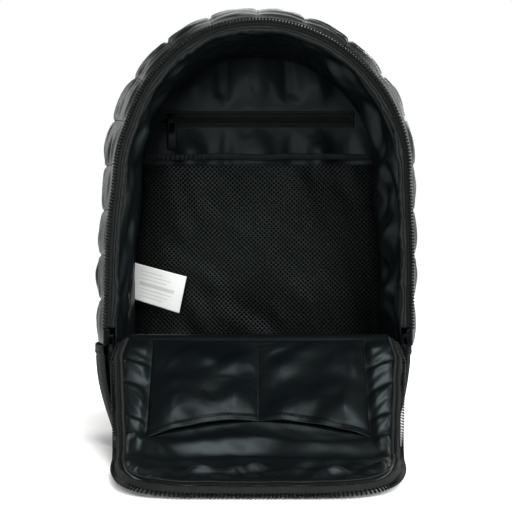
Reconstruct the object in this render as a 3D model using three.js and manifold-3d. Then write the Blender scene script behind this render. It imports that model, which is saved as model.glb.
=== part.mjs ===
// A quilted sports backpack with an arched top, standing on its base with the front unzipped.
// The front panel is folded forward and down, and its far half lies on the ground.
// Millimetres, +Z up. The opening faces -Y, the shoulder straps are on the +Y side.
// The origin is the middle of the base's underside.
import * as THREE from 'three';
import { mergeVertices } from 'three/addons/utils/BufferGeometryUtils.js';
import Module from 'manifold-3d';

// Sizes of the body
const ARCH_RADIUS = 138; // zip line over the top
const ARCH_CENTRE = 271; // height of the middle of that arc
const FLARE = 8; // widening of each side below the arc
const FLARE_RUN = 105; // height over which it widens
const LOWER_TOP = 100; // top of the plain lower sides
const TUCK = 23; // how far the lower sides draw in at the base
const FRONT_Y = -74; // front edge of the side walls
const BACK_Y = 66; // back edge of the side walls
const SEWN_GAP = 0.3; // clearance between pieces that are sewn together
const CLOTH = 1.2; // lining, tape and pocket cloth
const SEAM_EDGE = 1.5; // half the thickness of a padded wall at its sewn edges

// Quilting of the side wall: padded channels across it, sewn down between them
const QUILT_PITCH = 43.1;
const PUFFS_PER_SIDE = 9;
const CREST_TOP = 18; // how far the puffs stand outside the zip line, at the top
const CREST_SIDE = 10; // and at the lower ends
const SEAM_DEPTH = 4.5;
const PUFF_FULLNESS = 0.4; // lower is fuller up to the seams
const WADDING_INSIDE = 8; // how far the padding reaches inside the zip line

// Lining of the side wall
const LINING_INSET = 13;
const LINING_FOLD = 2.4; // height of its loose folds
const LINING_FOLDS = 3; // folds between the opening and the back
const LINING_SWAY = { turns: 0.75, run: 90 }; // how the folds wander along the wall

// Back panel, base and what is sewn to the back
const BACK_THICK = 9.7;
const BACK_OVERLAP = 4; // how far the back panel covers the wall's edge
const BASE_THICK = 4;
const LOWER_WALL = 4;
const LOWER_BULGE = 9;
const BACK_RIM = { share: 0.55, acrossRun: 12, alongRun: 8, foot: 0.06 }; // thinner edge of the back panel
const LINING_BACK_INSET = 5;

// Front panel, by the distance along its lining side from the top of the fold
const PANEL_THICK = 9;
const FOLD_RADIUS = 12;
const FOLD_HEIGHT = 98; // height of the fold's centre
const FOLD_Y = -78;
const FLAP_SLOPE = THREE.MathUtils.degToRad(47);
const BEND_RADIUS = 70; // where the flap meets the ground
const FLAP_LENGTH = 272;
const END_DEPTH = 118; // length of the rounded end
const END_SIDES = 1.5; // powers of the end's outline along and across: 2 and 2 are an ellipse
const END_FLATNESS = 8;
const END_HALF = 6; // half width at the very end
const FLAP_CURL = 5; // rise of the flap's long edges
const CURL_RUN = 40; // length over which that starts
const RIB_DEPTH = 4.5; // quilting under the flap
const RIM_THICK = 3; // the panel at its sewn rim
const RIM_RUN = 12; // length over which the end thickens
const GROUND_GAP = 0.4;
const FLAP_STEPS = 36; // rows along the panel, some of them up to just past the fold
const FOLD_STEPS = 12;
const PAST_FOLD = 20;
const LINING_STEPS = 33; // the lining ends this many rows along
const LOOSE = { from: 138, rise: 25, fall: 30, high: 3, wave: 9, slant: 60 }; // lining folds near the end

// Half widths along the front panel: the padded panel, and the lining on it
const PANEL_WIDTHS = [
  { at: -112.5, panel: 123.8, lining: 96 },
  { at: -106, panel: 126.5, lining: 98 },
  { at: -75, panel: 137, lining: 108 },
  { at: -45, panel: 143, lining: 116 },
  { at: -26, panel: 144.6, lining: 119 },
  { at: -12, panel: 130, lining: 119 },
  { at: 0, panel: 121, lining: 117 },
  { at: 14, panel: 124, lining: 121 },
  { at: 34, panel: 127, lining: 124.5 },
  { at: 154, panel: 115, lining: 112.5 },
];

// Zips
const TEETH_WIDE = 3.2;
const TEETH_DEEP = 3.0;
const BODY_ZIP_END = 371; // distance from the top of the arch to the zip's lower ends
const TAPE_DEEP = 13; // how far the facing behind the teeth goes into the bag
const RIM_TAPE_IN = 4; // flap tape lying over the lining
const RIM_TAPE_OUT = 7; // flap tape beyond the panel's edge
const RIM_TAPE_DROP = 7;

// Slip pocket inside the flap
const POCKET = { near: 12, far: 105, farSide: 126, half: 98, slack: 8 };

// Pocket zip, mesh pocket and label on the back lining
const POCKET_ZIP = { z: 330, high: 17, half: 102, ridge: 1 };
const SLIDER = { x: -91, wide: 9, high: 11, deep: 4 };
const BAIL = { reach: 3.6, high: 4, wire: 1.2, wide: 2 };
const PULL = { wide: 10, long: 34, thick: 2, bar: 1.5, eyeWide: 4.2, eyeHigh: 4.6 };
const MESH = { bottom: 10, top: 286.5, slack: 7, slackRun: 60, inset: 15.6 };
const BINDING = { high: 6.5, thick: 2.4, gather: 0.5 };
const LABEL = { x: -130.4, y: 56, z: 178, long: 56, high: 38.5, thick: 0.8 };
const LABEL_HANG = { drop: 14.6, lean: 3, lift: 10, twist: 2 }; // how its free end falls and stands off

// Main zip sliders, at the lower ends of the zip
const MAIN_SLIDER = { wide: 6.5, high: 16, deep: 4.6, inset: 2.5, tabWide: 6, tabLong: 26, tabThick: 2 };

// Haul loop and shoulder straps
const LOOP = { half: 36, foot: 408.7, rise: 38, yFront: 67, wide: 17, thick: 3 };
const STRAP_ROWS = [
  { z: 384, x: 38, y: 78.5, half: 26, thick: 4 },
  { z: 368, x: 41, y: 87, half: 29, thick: 10 },
  { z: 330, x: 50, y: 103, half: 31, thick: 11 },
  { z: 270, x: 63, y: 112, half: 31, thick: 11 },
  { z: 210, x: 78, y: 109, half: 29, thick: 11 },
  { z: 160, x: 89, y: 100, half: 24, thick: 10 },
  { z: 132, x: 94, y: 95, half: 19, thick: 7 },
];
const WEB = { half: 12.5, thick: 2 };
const WEB_ROWS = [
  { z: 126, x: 95, y: 90.4 },
  { z: 100, x: 98, y: 88.6 },
  { z: 66, x: 103, y: 83.5 },
  { z: 38, x: 106, y: 78 },
  { z: 20, x: 108, y: 77.3 },
];
const LADDER_LOCK = { wide: 36, high: 24, thick: 5, slotWide: 27, slotHigh: 4.5, slotApart: 11 };

const MATERIALS = {
  quilt: { color: 0x1d2022, roughness: 0.5 },
  satin: { color: 0x22282b, roughness: 0.35 },
  plain: { color: 0x26282a, roughness: 0.8 },
  tape: { color: 0x16181a, roughness: 0.75 },
  teeth: { color: 0x2a2d30, roughness: 0.35 },
  metal: { color: 0x3a3c3f, roughness: 0.3, metalness: 0.9 },
  mesh: { color: 0x121416, roughness: 0.7 },
  label: { color: 0xe9e9e6, roughness: 0.6 },
  buckle: { color: 0x141516, roughness: 0.45 },
};

const group = new THREE.Group();

// Small helpers

const lerp = THREE.MathUtils.lerp;
const clamp = THREE.MathUtils.clamp;

function smooth(t) {
  const k = clamp(t, 0, 1);
  return k * k * (3 - 2 * k);
}

/** Reads a column of a table whose rows are in order of their key, with straight lines between rows. */
function column(rows, key, value, at) {
  const rising = rows[0][key] < rows[rows.length - 1][key];
  const order = rising ? rows : [...rows].reverse();
  if (at <= order[0][key]) return order[0][value];
  for (let i = 1; i < order.length; i += 1) {
    const [a, b] = [order[i - 1], order[i]];
    if (at <= b[key]) return lerp(a[value], b[value], (at - a[key]) / (b[key] - a[key]));
  }
  return order[order.length - 1][value];
}

/** Turns a geometry the right way out: its signed volume comes out positive. */
function facingOut(points, triangles) {
  let volume = 0;
  const [a, b, c] = [new THREE.Vector3(), new THREE.Vector3(), new THREE.Vector3()];
  for (let i = 0; i < triangles.length; i += 3) {
    a.fromArray(points[triangles[i]]);
    b.fromArray(points[triangles[i + 1]]);
    c.fromArray(points[triangles[i + 2]]);
    volume += a.dot(b.cross(c));
  }
  if (volume < 0) {
    for (let i = 0; i < triangles.length; i += 3) {
      [triangles[i], triangles[i + 1]] = [triangles[i + 1], triangles[i]];
    }
  }
  const geometry = new THREE.BufferGeometry();
  geometry.setAttribute('position', new THREE.Float32BufferAttribute(points.flat(), 3));
  geometry.setIndex(triangles);
  return geometry;
}

/** A closed panel between two surfaces, each a function of u and v from 0 to 1 that gives a point. */
function panel(across, along, face, back) {
  const points = [];
  const triangles = [];
  const width = across + 1;
  const half = width * (along + 1);
  for (const surface of [face, back]) {
    for (let j = 0; j <= along; j += 1) {
      for (let i = 0; i <= across; i += 1) points.push(surface(i / across, j / along));
    }
  }
  const quad = (a, b, c, d) => triangles.push(a, b, c, a, c, d);
  for (let j = 0; j < along; j += 1) {
    for (let i = 0; i < across; i += 1) {
      const a = j * width + i;
      quad(a, a + 1, a + width + 1, a + width);
      quad(half + a, half + a + width, half + a + width + 1, half + a + 1);
    }
  }
  const wall = (a, b) => quad(b, a, half + a, half + b);
  for (let i = 0; i < across; i += 1) {
    wall(i, i + 1);
    wall(along * width + i + 1, along * width + i);
  }
  for (let j = 0; j < along; j += 1) {
    wall((j + 1) * width, j * width);
    wall(j * width + across, (j + 1) * width + across);
  }
  return facingOut(points, triangles);
}

function add(name, finish, geometry) {
  geometry.computeVertexNormals();
  const material = new THREE.MeshStandardMaterial({ ...MATERIALS[finish], flatShading: true });
  const mesh = new THREE.Mesh(geometry, material);
  mesh.name = name;
  group.add(mesh);
  return mesh;
}

// The side wall, by the distance s along the zip line from the top, negative on the left

const QUARTER = (Math.PI / 2) * ARCH_RADIUS;
const WALL_END = QUILT_PITCH * PUFFS_PER_SIDE;

/** Half width of the zip line's sides at a height. */
function sideHalf(z) {
  const below = Math.max(0, 1 - z / LOWER_TOP);
  return ARCH_RADIUS + FLARE * smooth((ARCH_CENTRE - z) / FLARE_RUN) - TUCK * below * below;
}

/** A point of the wall: s along the zip line, y in depth, and a distance outside the zip line. */
function wallPoint(s, y, out) {
  const side = Math.sign(s) || 1;
  if (Math.abs(s) <= QUARTER) {
    const angle = s / ARCH_RADIUS;
    const r = ARCH_RADIUS + out;
    return [r * Math.sin(angle), y, ARCH_CENTRE + r * Math.cos(angle)];
  }
  const z = ARCH_CENTRE - (Math.abs(s) - QUARTER);
  return [side * (sideHalf(z) + out), y, z];
}

/** Depth of the wall from 0 at its front edge to 1 at its back edge, with rows closer at the edges. */
function wallDepth(v) {
  return 0.5 - 0.5 * Math.cos(Math.PI * v);
}

/** Fullness of the wall across its depth: none at the sewn edges, whole in the middle. */
function bulge(depth) {
  return 1 - (2 * depth - 1) ** 4;
}

/** Fullness of a quilted channel along the wall or the front panel: none at its seams. */
function puff(s) {
  return Math.abs(Math.sin((Math.PI * s) / QUILT_PITCH)) ** PUFF_FULLNESS;
}

function quiltedWall() {
  const stationsPerPuff = 4;
  const place = (u, v, out) => {
    const s = lerp(-WALL_END, WALL_END, u);
    const depth = wallDepth(v);
    return wallPoint(s, lerp(FRONT_Y, BACK_Y, depth), out(s, bulge(depth)));
  };
  const outside = (s, full) => {
    const crest = lerp(CREST_TOP, CREST_SIDE, smooth(Math.abs(s) / WALL_END));
    return SEAM_EDGE + full * (crest - SEAM_EDGE - SEAM_DEPTH * (1 - puff(s)));
  };
  const inside = (s, full) => -SEAM_EDGE - full * (WADDING_INSIDE - SEAM_EDGE);
  return panel(
    2 * PUFFS_PER_SIDE * stationsPerPuff,
    6,
    (u, v) => place(u, v, outside),
    (u, v) => place(u, v, inside),
  );
}

function wallLining() {
  const end = QUARTER + ARCH_CENTRE - 2 * BASE_THICK;
  const front = FRONT_Y + TAPE_DEEP + CLOTH;
  const back = BACK_Y - CLOTH - SEWN_GAP;
  const place = (u, v, thick) => {
    const s = lerp(-end, end, u);
    const loose = LINING_FOLD * Math.sin(Math.PI * v);
    const turns = (LINING_FOLDS / 2) * v + LINING_SWAY.turns * Math.sin(s / LINING_SWAY.run);
    const fold = loose * Math.sin(2 * Math.PI * turns);
    return wallPoint(s, lerp(front, back, v), -LINING_INSET - fold - thick);
  };
  return panel(40, 5, (u, v) => place(u, v, 0), (u, v) => place(u, v, CLOTH));
}

add('quilted_side_wall', 'quilt', quiltedWall());
add('side_wall_lining', 'satin', wallLining());

// Lower sides, base and back panel

function lowerSide(side) {
  const low = BASE_THICK + SEWN_GAP;
  const high = LOWER_TOP - SEWN_GAP;
  const place = (u, v, thick) => {
    const z = lerp(low, high, v);
    const depth = wallDepth(u);
    const out = SEAM_EDGE + bulge(depth) * LOWER_BULGE - thick;
    return [side * (sideHalf(z) + out), lerp(FRONT_Y, BACK_Y, depth), z];
  };
  return panel(6, 5, (u, v) => place(u, v, 0), (u, v) => place(u, v, LOWER_WALL));
}

function basePanel() {
  const place = (u, v, z) => {
    const depth = wallDepth(v);
    const half = sideHalf(BASE_THICK) + bulge(depth) * LOWER_BULGE;
    const y = lerp(FRONT_Y - 1, BACK_Y + BACK_THICK, depth);
    return [lerp(-half, half, u), y, z];
  };
  return panel(6, 6, (u, v) => place(u, v, BASE_THICK), (u, v) => place(u, v, 0));
}

/** A flat arched sheet standing in the wall's outline: rows from the base to the top, drawn in by an inset. */
function archedSheet(inset, low, rowCount, columns, yFront, yBack) {
  const top = ARCH_CENTRE + ARCH_RADIUS - inset;
  const place = (u, v, y) => {
    const rise = Math.sin((Math.PI / 2) * v);
    const z = lerp(low, top, rise);
    const above = Math.max(0, z - ARCH_CENTRE);
    const radius = ARCH_RADIUS - inset;
    const half = above > 0
      ? Math.sqrt(Math.max(radius * radius - above * above, 1))
      : sideHalf(z) - inset;
    return [lerp(-half, half, u), y(u, v, half, z), z];
  };
  return panel(
    columns,
    rowCount,
    (u, v) => place(u, v, yFront),
    (u, v) => place(u, v, yBack),
  );
}

function backPanel() {
  const front = BACK_Y + SEWN_GAP;
  const { share, acrossRun, alongRun, foot } = BACK_RIM;
  const edge = (u, v) => Math.min(1, acrossRun * Math.min(u, 1 - u), alongRun * Math.min(v + foot, 1 - v));
  const rear = (u, v) => front + BACK_THICK * lerp(share, 1, smooth(edge(u, v)));
  return archedSheet(-BACK_OVERLAP, BASE_THICK + SEWN_GAP, 14, 10, () => front, rear);
}

function backLining() {
  const front = BACK_Y - CLOTH;
  return archedSheet(LINING_BACK_INSET, 2 * BASE_THICK, 12, 6, () => front, () => BACK_Y);
}

add('lower_side_left', 'plain', lowerSide(-1));
add('lower_side_right', 'plain', lowerSide(1));
add('base_panel', 'plain', basePanel());
add('back_panel', 'plain', backPanel());
add('back_lining', 'satin', backLining());

// Front panel: its lining side runs up the front wall, over the fold, down and along the ground

const FOLD_TOP = FOLD_RADIUS * (Math.PI / 2); // distance from the wall's end to the fold's top
const FOLD_LEAVE = FOLD_RADIUS * FLAP_SLOPE; // and from there to the slope
const PANEL_FOOT = BASE_THICK + SEWN_GAP - FOLD_HEIGHT - FOLD_TOP; // where the panel is sewn to the base
const GROUND_Z = PANEL_THICK + GROUND_GAP;
const SLOPE_START = {
  y: FOLD_Y - FOLD_RADIUS * Math.sin(FLAP_SLOPE),
  z: FOLD_HEIGHT + FOLD_RADIUS * Math.cos(FLAP_SLOPE),
};
const SLOPE_DROP = SLOPE_START.z - GROUND_Z - BEND_RADIUS * (1 - Math.cos(FLAP_SLOPE));
const SLOPE_LENGTH = SLOPE_DROP / Math.sin(FLAP_SLOPE);

/** The lining side of the front panel at a distance from the fold's top: place and normal in y and z. */
function flapPath(s) {
  if (s < -FOLD_TOP) {
    return { y: FOLD_Y + FOLD_RADIUS, z: FOLD_HEIGHT + s + FOLD_TOP, ny: 1, nz: 0 };
  }
  const [cos, sin] = [Math.cos(FLAP_SLOPE), Math.sin(FLAP_SLOPE)];
  if (s < FOLD_LEAVE) {
    const turn = s / FOLD_RADIUS;
    const [ny, nz] = [-Math.sin(turn), Math.cos(turn)];
    return { y: FOLD_Y + FOLD_RADIUS * ny, z: FOLD_HEIGHT + FOLD_RADIUS * nz, ny, nz };
  }
  const down = s - FOLD_LEAVE;
  if (down < SLOPE_LENGTH) {
    return { y: SLOPE_START.y - down * cos, z: SLOPE_START.z - down * sin, ny: -sin, nz: cos };
  }
  const bendY = SLOPE_START.y - SLOPE_LENGTH * cos;
  const left = Math.max(0, FLAP_SLOPE - (down - SLOPE_LENGTH) / BEND_RADIUS);
  const flat = Math.max(0, down - SLOPE_LENGTH - FLAP_SLOPE * BEND_RADIUS);
  return {
    y: bendY - BEND_RADIUS * (sin - Math.sin(left)) - flat,
    z: GROUND_Z + BEND_RADIUS * (1 - Math.cos(left)),
    ny: -Math.sin(left),
    nz: Math.cos(left),
  };
}

const END_START = FLAP_LENGTH - END_DEPTH;

/** Half width of the panel or its lining, with the squared round end. */
function flapHalf(s, piece, shorter = 0) {
  const half = column(PANEL_WIDTHS, 'at', piece, s);
  const t = clamp((s - END_START) / (END_DEPTH - shorter), 0, 1);
  return half * (1 - t ** END_SIDES) ** (1 / END_FLATNESS);
}

/** A point on the front panel: x across it, s along it, and a height over its lining side. */
function flapPoint(x, s, over) {
  const place = flapPath(s);
  const edge = Math.abs(x) / column(PANEL_WIDTHS, 'at', 'panel', s);
  const height = over + FLAP_CURL * edge ** 3 * smooth(s / CURL_RUN);
  return [x, place.y + place.ny * height, place.z + place.nz * height];
}

/** Rows of the front panel from its foot to its end, closer together over the fold and at the round end. */
const FLAP_ROWS = Array.from({ length: FLAP_STEPS + 1 }, (_, i) => {
  if (i <= FOLD_STEPS) return lerp(PANEL_FOOT, PAST_FOLD, i / FOLD_STEPS);
  const share = (i - FOLD_STEPS) / (FLAP_STEPS - FOLD_STEPS);
  return lerp(PAST_FOLD, FLAP_LENGTH - SEWN_GAP, Math.sin((Math.PI / 2) * share));
});

function frontPanel() {
  const place = (u, v, over) => {
    const s = FLAP_ROWS[Math.round(v * FLAP_STEPS)];
    const half = Math.max(flapHalf(s, 'panel'), END_HALF);
    return flapPoint(lerp(-half, half, u), s, over(s, u));
  };
  const under = (s, u) => {
    const rim = Math.min(1, 7 * Math.min(u, 1 - u), Math.max(0, FLAP_LENGTH - s) / RIM_RUN);
    const ribbed = PANEL_THICK - RIB_DEPTH * (1 - puff(s));
    return -lerp(RIM_THICK, ribbed, smooth(rim));
  };
  return panel(8, FLAP_STEPS, (u, v) => place(u, v, () => 0), (u, v) => place(u, v, under));
}

function frontLining() {
  const end = FLAP_ROWS[LINING_STEPS];
  const place = (u, v, over) => {
    const s = FLAP_ROWS[Math.round(v * LINING_STEPS)];
    const half = Math.max(flapHalf(s, 'lining', FLAP_LENGTH - end), END_HALF);
    const x = lerp(-half, half, u);
    const along = smooth((s - LOOSE.from) / LOOSE.rise) * smooth((end - s) / LOOSE.fall);
    const fold = LOOSE.high * Math.sin(Math.PI * u) * along * (1 + Math.sin(s / LOOSE.wave + x / LOOSE.slant));
    return flapPoint(x, s, over + SEWN_GAP + fold);
  };
  return panel(8, LINING_STEPS, (u, v) => place(u, v, CLOTH), (u, v) => place(u, v, 0));
}

function slipPocket() {
  const place = (u, v, over) => {
    const across = 2 * u - 1;
    const mouth = lerp(POCKET.far, POCKET.farSide, across * across);
    const s = lerp(POCKET.near, mouth, v);
    const seam = Math.abs(Math.sin(2 * Math.PI * u));
    const bag = POCKET.slack * Math.sqrt(seam) * smooth(3 * v);
    return flapPoint(POCKET.half * across, s, over + CLOTH + 3 * SEWN_GAP + bag);
  };
  return panel(16, 6, (u, v) => place(u, v, CLOTH), (u, v) => place(u, v, 0));
}

add('front_panel', 'quilt', frontPanel());
add('front_panel_lining', 'satin', frontLining());
add('flap_slip_pocket', 'satin', slipPocket());

// Main zip: tape and teeth on the body's edge, and on the flap's rim

/** A strip along the body's zip line, through rows of depth and distance outside the line. */
function bodyStrip(rows, thick) {
  const place = (u, v, at) => {
    const s = lerp(-BODY_ZIP_END, BODY_ZIP_END, u);
    const row = rows[Math.round(v * (rows.length - 1))];
    return wallPoint(s, row.y + at * thick.y, row.out + at * thick.out);
  };
  return panel(52, rows.length - 1, (u, v) => place(u, v, 1), (u, v) => place(u, v, 0));
}

const TAPE_FRONT = FRONT_Y - SEWN_GAP;
add('body_zip_tape', 'tape', bodyStrip(
  [
    { y: TAPE_FRONT, out: 1.4 },
    { y: TAPE_FRONT, out: -3.2 },
    { y: FRONT_Y + TAPE_DEEP, out: -LINING_INSET - 1.4 },
  ],
  { y: -CLOTH, out: -0.4 },
));
add('body_zip_teeth', 'teeth', bodyStrip(
  [
    { y: TAPE_FRONT - CLOTH - SEWN_GAP, out: TEETH_WIDE / 2 },
    { y: TAPE_FRONT - CLOTH - SEWN_GAP, out: -TEETH_WIDE / 2 },
  ],
  { y: -TEETH_DEEP, out: 0 },
));

/** The flap's rim from its left fold corner round the end to the right: x, s and the outward direction. */
function rimPoint(t) {
  const side = t < 0.5 ? -1 : 1;
  const k = 1 - Math.abs(2 * t - 1); // 0 at the fold corners, 1 at the middle of the end
  const straightShare = 0.42;
  const first = 10;
  const at = (q) => {
    if (q < straightShare) {
      const s = lerp(first, END_START, q / straightShare);
      return [flapHalf(s, 'panel'), s];
    }
    const angle = (Math.PI / 2) * (q - straightShare) / (1 - straightShare);
    const half = column(PANEL_WIDTHS, 'at', 'panel', END_START);
    const s = END_START + END_DEPTH * Math.sin(angle) ** (2 / END_SIDES);
    return [half * Math.max(Math.cos(angle), 0) ** (2 / END_FLATNESS), s];
  };
  const step = 0.004;
  const [before, here, after] = [at(Math.max(k - step, 0)), at(k), at(Math.min(k + step, 1))];
  let [dx, ds] = [after[0] - before[0], after[1] - before[1]];
  if (k > 1 - step) [dx, ds] = [-1, 0];
  const size = Math.hypot(dx, ds) || 1;
  return { x: side * here[0], s: here[1], outX: (side * ds) / size, outS: -dx / size };
}

/** A strip along the flap's rim, through rows of distance outside the rim and height over the panel. */
function rimStrip(rows, thick) {
  const place = (u, v, at) => {
    const rim = rimPoint(u);
    const row = rows[Math.round(v * (rows.length - 1))];
    const out = row.out + at * thick.out;
    return flapPoint(rim.x + rim.outX * out, rim.s + rim.outS * out, row.over + at * thick.over);
  };
  return panel(52, rows.length - 1, (u, v) => place(u, v, 1), (u, v) => place(u, v, 0));
}

const RIM_TAPE_OVER = 2 * CLOTH + SEWN_GAP;
add('flap_zip_tape', 'tape', rimStrip(
  [
    { out: -RIM_TAPE_IN, over: RIM_TAPE_OVER },
    { out: 1.5, over: RIM_TAPE_OVER - 0.5 },
    { out: RIM_TAPE_OUT, over: -RIM_TAPE_DROP + 1.5 },
  ],
  { out: 0.6, over: CLOTH - 0.2 },
));
add('flap_zip_teeth', 'teeth', rimStrip(
  [
    { out: RIM_TAPE_OUT - 1, over: -RIM_TAPE_DROP + 0.9 },
    { out: RIM_TAPE_OUT + TEETH_WIDE - 1, over: -RIM_TAPE_DROP + 0.9 },
  ],
  { out: 0, over: -1.6 },
));

// What is sewn to the back lining: zip pocket, mesh pocket and label

const ON_LINING = BACK_Y - CLOTH - SEWN_GAP;

function pocketZipTape() {
  const [low, high] = [POCKET_ZIP.z - POCKET_ZIP.high / 2, POCKET_ZIP.z + POCKET_ZIP.high / 2];
  const rows = [
    { z: low, proud: 0 },
    { z: POCKET_ZIP.z - 3, proud: 0 },
    { z: POCKET_ZIP.z - 2, proud: POCKET_ZIP.ridge },
    { z: POCKET_ZIP.z + 2, proud: POCKET_ZIP.ridge },
    { z: POCKET_ZIP.z + 3, proud: 0 },
    { z: high, proud: 0 },
  ];
  const place = (u, v, front) => {
    const row = rows[Math.round(v * (rows.length - 1))];
    const y = front ? ON_LINING - CLOTH - row.proud : ON_LINING;
    return [lerp(-POCKET_ZIP.half, POCKET_ZIP.half, u), y, row.z];
  };
  return panel(1, rows.length - 1, (u, v) => place(u, v, true), (u, v) => place(u, v, false));
}

/** Where the mesh stands in depth: sewn down at its sides and foot, slack between them and at the top. */
function meshDepth(u, z) {
  const across = 1 - Math.abs(2 * u - 1) ** 6;
  return ON_LINING - MESH.slack * across * smooth((z - MESH.bottom) / MESH.slackRun);
}

function meshHalf(z) {
  const above = Math.max(0, z - ARCH_CENTRE);
  const inner = ARCH_RADIUS - MESH.inset;
  return above > 0 ? Math.sqrt(inner * inner - above * above) : sideHalf(z) - MESH.inset;
}

function meshPocket() {
  const place = (u, v, thick) => {
    const z = lerp(MESH.bottom, MESH.top, v);
    const half = meshHalf(z);
    return [lerp(-half, half, u), meshDepth(u, z) - thick, z];
  };
  return panel(10, 6, (u, v) => place(u, v, CLOTH), (u, v) => place(u, v, 0));
}

function meshBinding() {
  const columns = 20;
  const half = meshHalf(MESH.top + BINDING.high) - 1;
  const place = (u, v, thick) => {
    const gather = BINDING.gather * Math.cos(Math.PI * columns * u) * (u < 0.4 ? 1 : 0.2);
    const middle = meshDepth(u, MESH.top) - BINDING.thick / 2 - 2 * SEWN_GAP;
    const y = Math.min(middle + gather, ON_LINING - BINDING.thick / 2 - SEWN_GAP);
    return [lerp(-half, half, u), y + thick, lerp(MESH.top + SEWN_GAP, MESH.top + BINDING.high, v)];
  };
  const thick = BINDING.thick / 2;
  return panel(columns, 1, (u, v) => place(u, v, -thick), (u, v) => place(u, v, thick));
}

function careLabel() {
  const place = (u, v, thick) => {
    const { drop, lean, lift, twist } = LABEL_HANG;
    const x = LABEL.x + LABEL.long * u - lean * v * u;
    const y = LABEL.y - lift * Math.sin((Math.PI / 2) * u) + twist * v * u + thick;
    return [x, y, LABEL.z - drop * u - LABEL.high * v];
  };
  return panel(4, 2, (u, v) => place(u, v, 0), (u, v) => place(u, v, LABEL.thick));
}

add('pocket_zip_tape', 'tape', pocketZipTape());
add('mesh_pocket', 'mesh', meshPocket());
add('mesh_binding', 'tape', meshBinding());
add('care_label', 'label', careLabel());

// Sliders and pull tabs

const wasm = await Module();
wasm.setup();

/** A closed geometry as a solid that can be joined or cut. */
function solid(geometry) {
  const bare = geometry.index ? geometry.clone() : geometry;
  bare.deleteAttribute('normal');
  bare.deleteAttribute('uv');
  const merged = mergeVertices(bare, 1e-4);
  const mesh = new wasm.Mesh({
    numProp: 3,
    vertProperties: new Float32Array(merged.attributes.position.array),
    triVerts: new Uint32Array(merged.index.array),
  });
  return new wasm.Manifold(mesh);
}

function fromSolid(body) {
  const mesh = body.getMesh();
  const geometry = new THREE.BufferGeometry();
  geometry.setAttribute('position', new THREE.Float32BufferAttribute(mesh.vertProperties, 3));
  geometry.setIndex([...mesh.triVerts]);
  return geometry;
}

function roundedRect(wide, high, radius, shape = new THREE.Shape()) {
  const [x, z] = [wide / 2, high / 2];
  shape.moveTo(-x + radius, -z);
  shape.lineTo(x - radius, -z);
  shape.quadraticCurveTo(x, -z, x, -z + radius);
  shape.lineTo(x, z - radius);
  shape.quadraticCurveTo(x, z, x - radius, z);
  shape.lineTo(-x + radius, z);
  shape.quadraticCurveTo(-x, z, -x, z - radius);
  shape.lineTo(-x, -z + radius);
  shape.quadraticCurveTo(-x, -z, -x + radius, -z);
  return shape;
}

/** A flat outline drawn in x and z, given its thickness in depth and centred on y = 0. */
function plate(shape, thick) {
  const geometry = new THREE.ExtrudeGeometry(shape, { depth: thick, bevelEnabled: false, curveSegments: 3 });
  return geometry.translate(0, 0, -thick / 2).rotateX(Math.PI / 2);
}

/** An outline drawn in y and z, given its width in x and centred on x = 0. */
function crossPlate(shape, wide) {
  const geometry = new THREE.ExtrudeGeometry(shape, { depth: wide, bevelEnabled: false });
  const axes = [new THREE.Vector3(0, 1, 0), new THREE.Vector3(0, 0, 1), new THREE.Vector3(1, 0, 0)];
  return geometry.translate(0, 0, -wide / 2).applyMatrix4(new THREE.Matrix4().makeBasis(...axes));
}

/** A slider's body from a face at y = 0 back to its depth, tapered towards the face. */
function sliderBody({ wide, high, deep }) {
  const taper = deep / 3;
  const side = new THREE.Shape();
  side.moveTo(0, -high / 2 + taper);
  side.lineTo(taper, -high / 2);
  side.lineTo(deep, -high / 2);
  side.lineTo(deep, high / 2);
  side.lineTo(taper, high / 2);
  side.lineTo(0, high / 2 - taper);
  return crossPlate(side, wide);
}

/** The small wire arch on a slider, open from side to side, standing on a face at y = 0. */
function bail() {
  const [half, wire, reach] = [BAIL.high / 2, BAIL.wire, BAIL.reach];
  const shoulder = half + wire / 3;
  const outer = new THREE.Shape();
  outer.moveTo(wire, -half - wire);
  outer.lineTo(wire, half + wire);
  outer.lineTo(-reach, half + wire);
  outer.lineTo(-reach - wire, shoulder);
  outer.lineTo(-reach - wire, -shoulder);
  outer.lineTo(-reach, -half - wire);
  const hole = new THREE.Path();
  hole.moveTo(0, -half);
  hole.lineTo(-reach, -half);
  hole.lineTo(-reach, half);
  hole.lineTo(0, half);
  outer.holes.push(hole);
  return crossPlate(outer, BAIL.wide);
}

/** A pull tab hanging from the origin, which is the middle of the bar across its eye. */
function pullTab() {
  const middle = PULL.bar / 2 - PULL.long / 2;
  const shape = roundedRect(PULL.wide, PULL.long, 2);
  const eye = new THREE.Path();
  const [x, top] = [PULL.eyeWide / 2, PULL.long / 2 - PULL.bar];
  eye.moveTo(-x, top);
  eye.lineTo(-x, top - PULL.eyeHigh);
  eye.lineTo(x, top - PULL.eyeHigh);
  eye.lineTo(x, top);
  shape.holes.push(eye);
  return plate(shape, PULL.thick).translate(0, 0, middle);
}

const SLIDER_FACE = ON_LINING - CLOTH - POCKET_ZIP.ridge - SEWN_GAP - SLIDER.deep;
const pocketSlider = solid(sliderBody(SLIDER)).add(solid(bail()));
add('pocket_slider', 'metal', fromSolid(pocketSlider)).position.set(SLIDER.x, SLIDER_FACE, POCKET_ZIP.z);
const pocketPull = add('pocket_pull_tab', 'metal', pullTab());
pocketPull.position.set(SLIDER.x, SLIDER_FACE - BAIL.reach / 2, POCKET_ZIP.z);

/** A main slider with its pull hanging beside it on the inner side, out of sight behind the flap. */
function mainSlider(side) {
  const { wide, tabWide, tabLong, tabThick } = MAIN_SLIDER;
  const tab = plate(roundedRect(tabWide, tabLong, 2), tabThick);
  tab.translate(-side * (wide / 2 + 1), tabThick, -tabLong / 2 + 3);
  return fromSolid(solid(sliderBody(MAIN_SLIDER)).add(solid(tab)));
}

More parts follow.
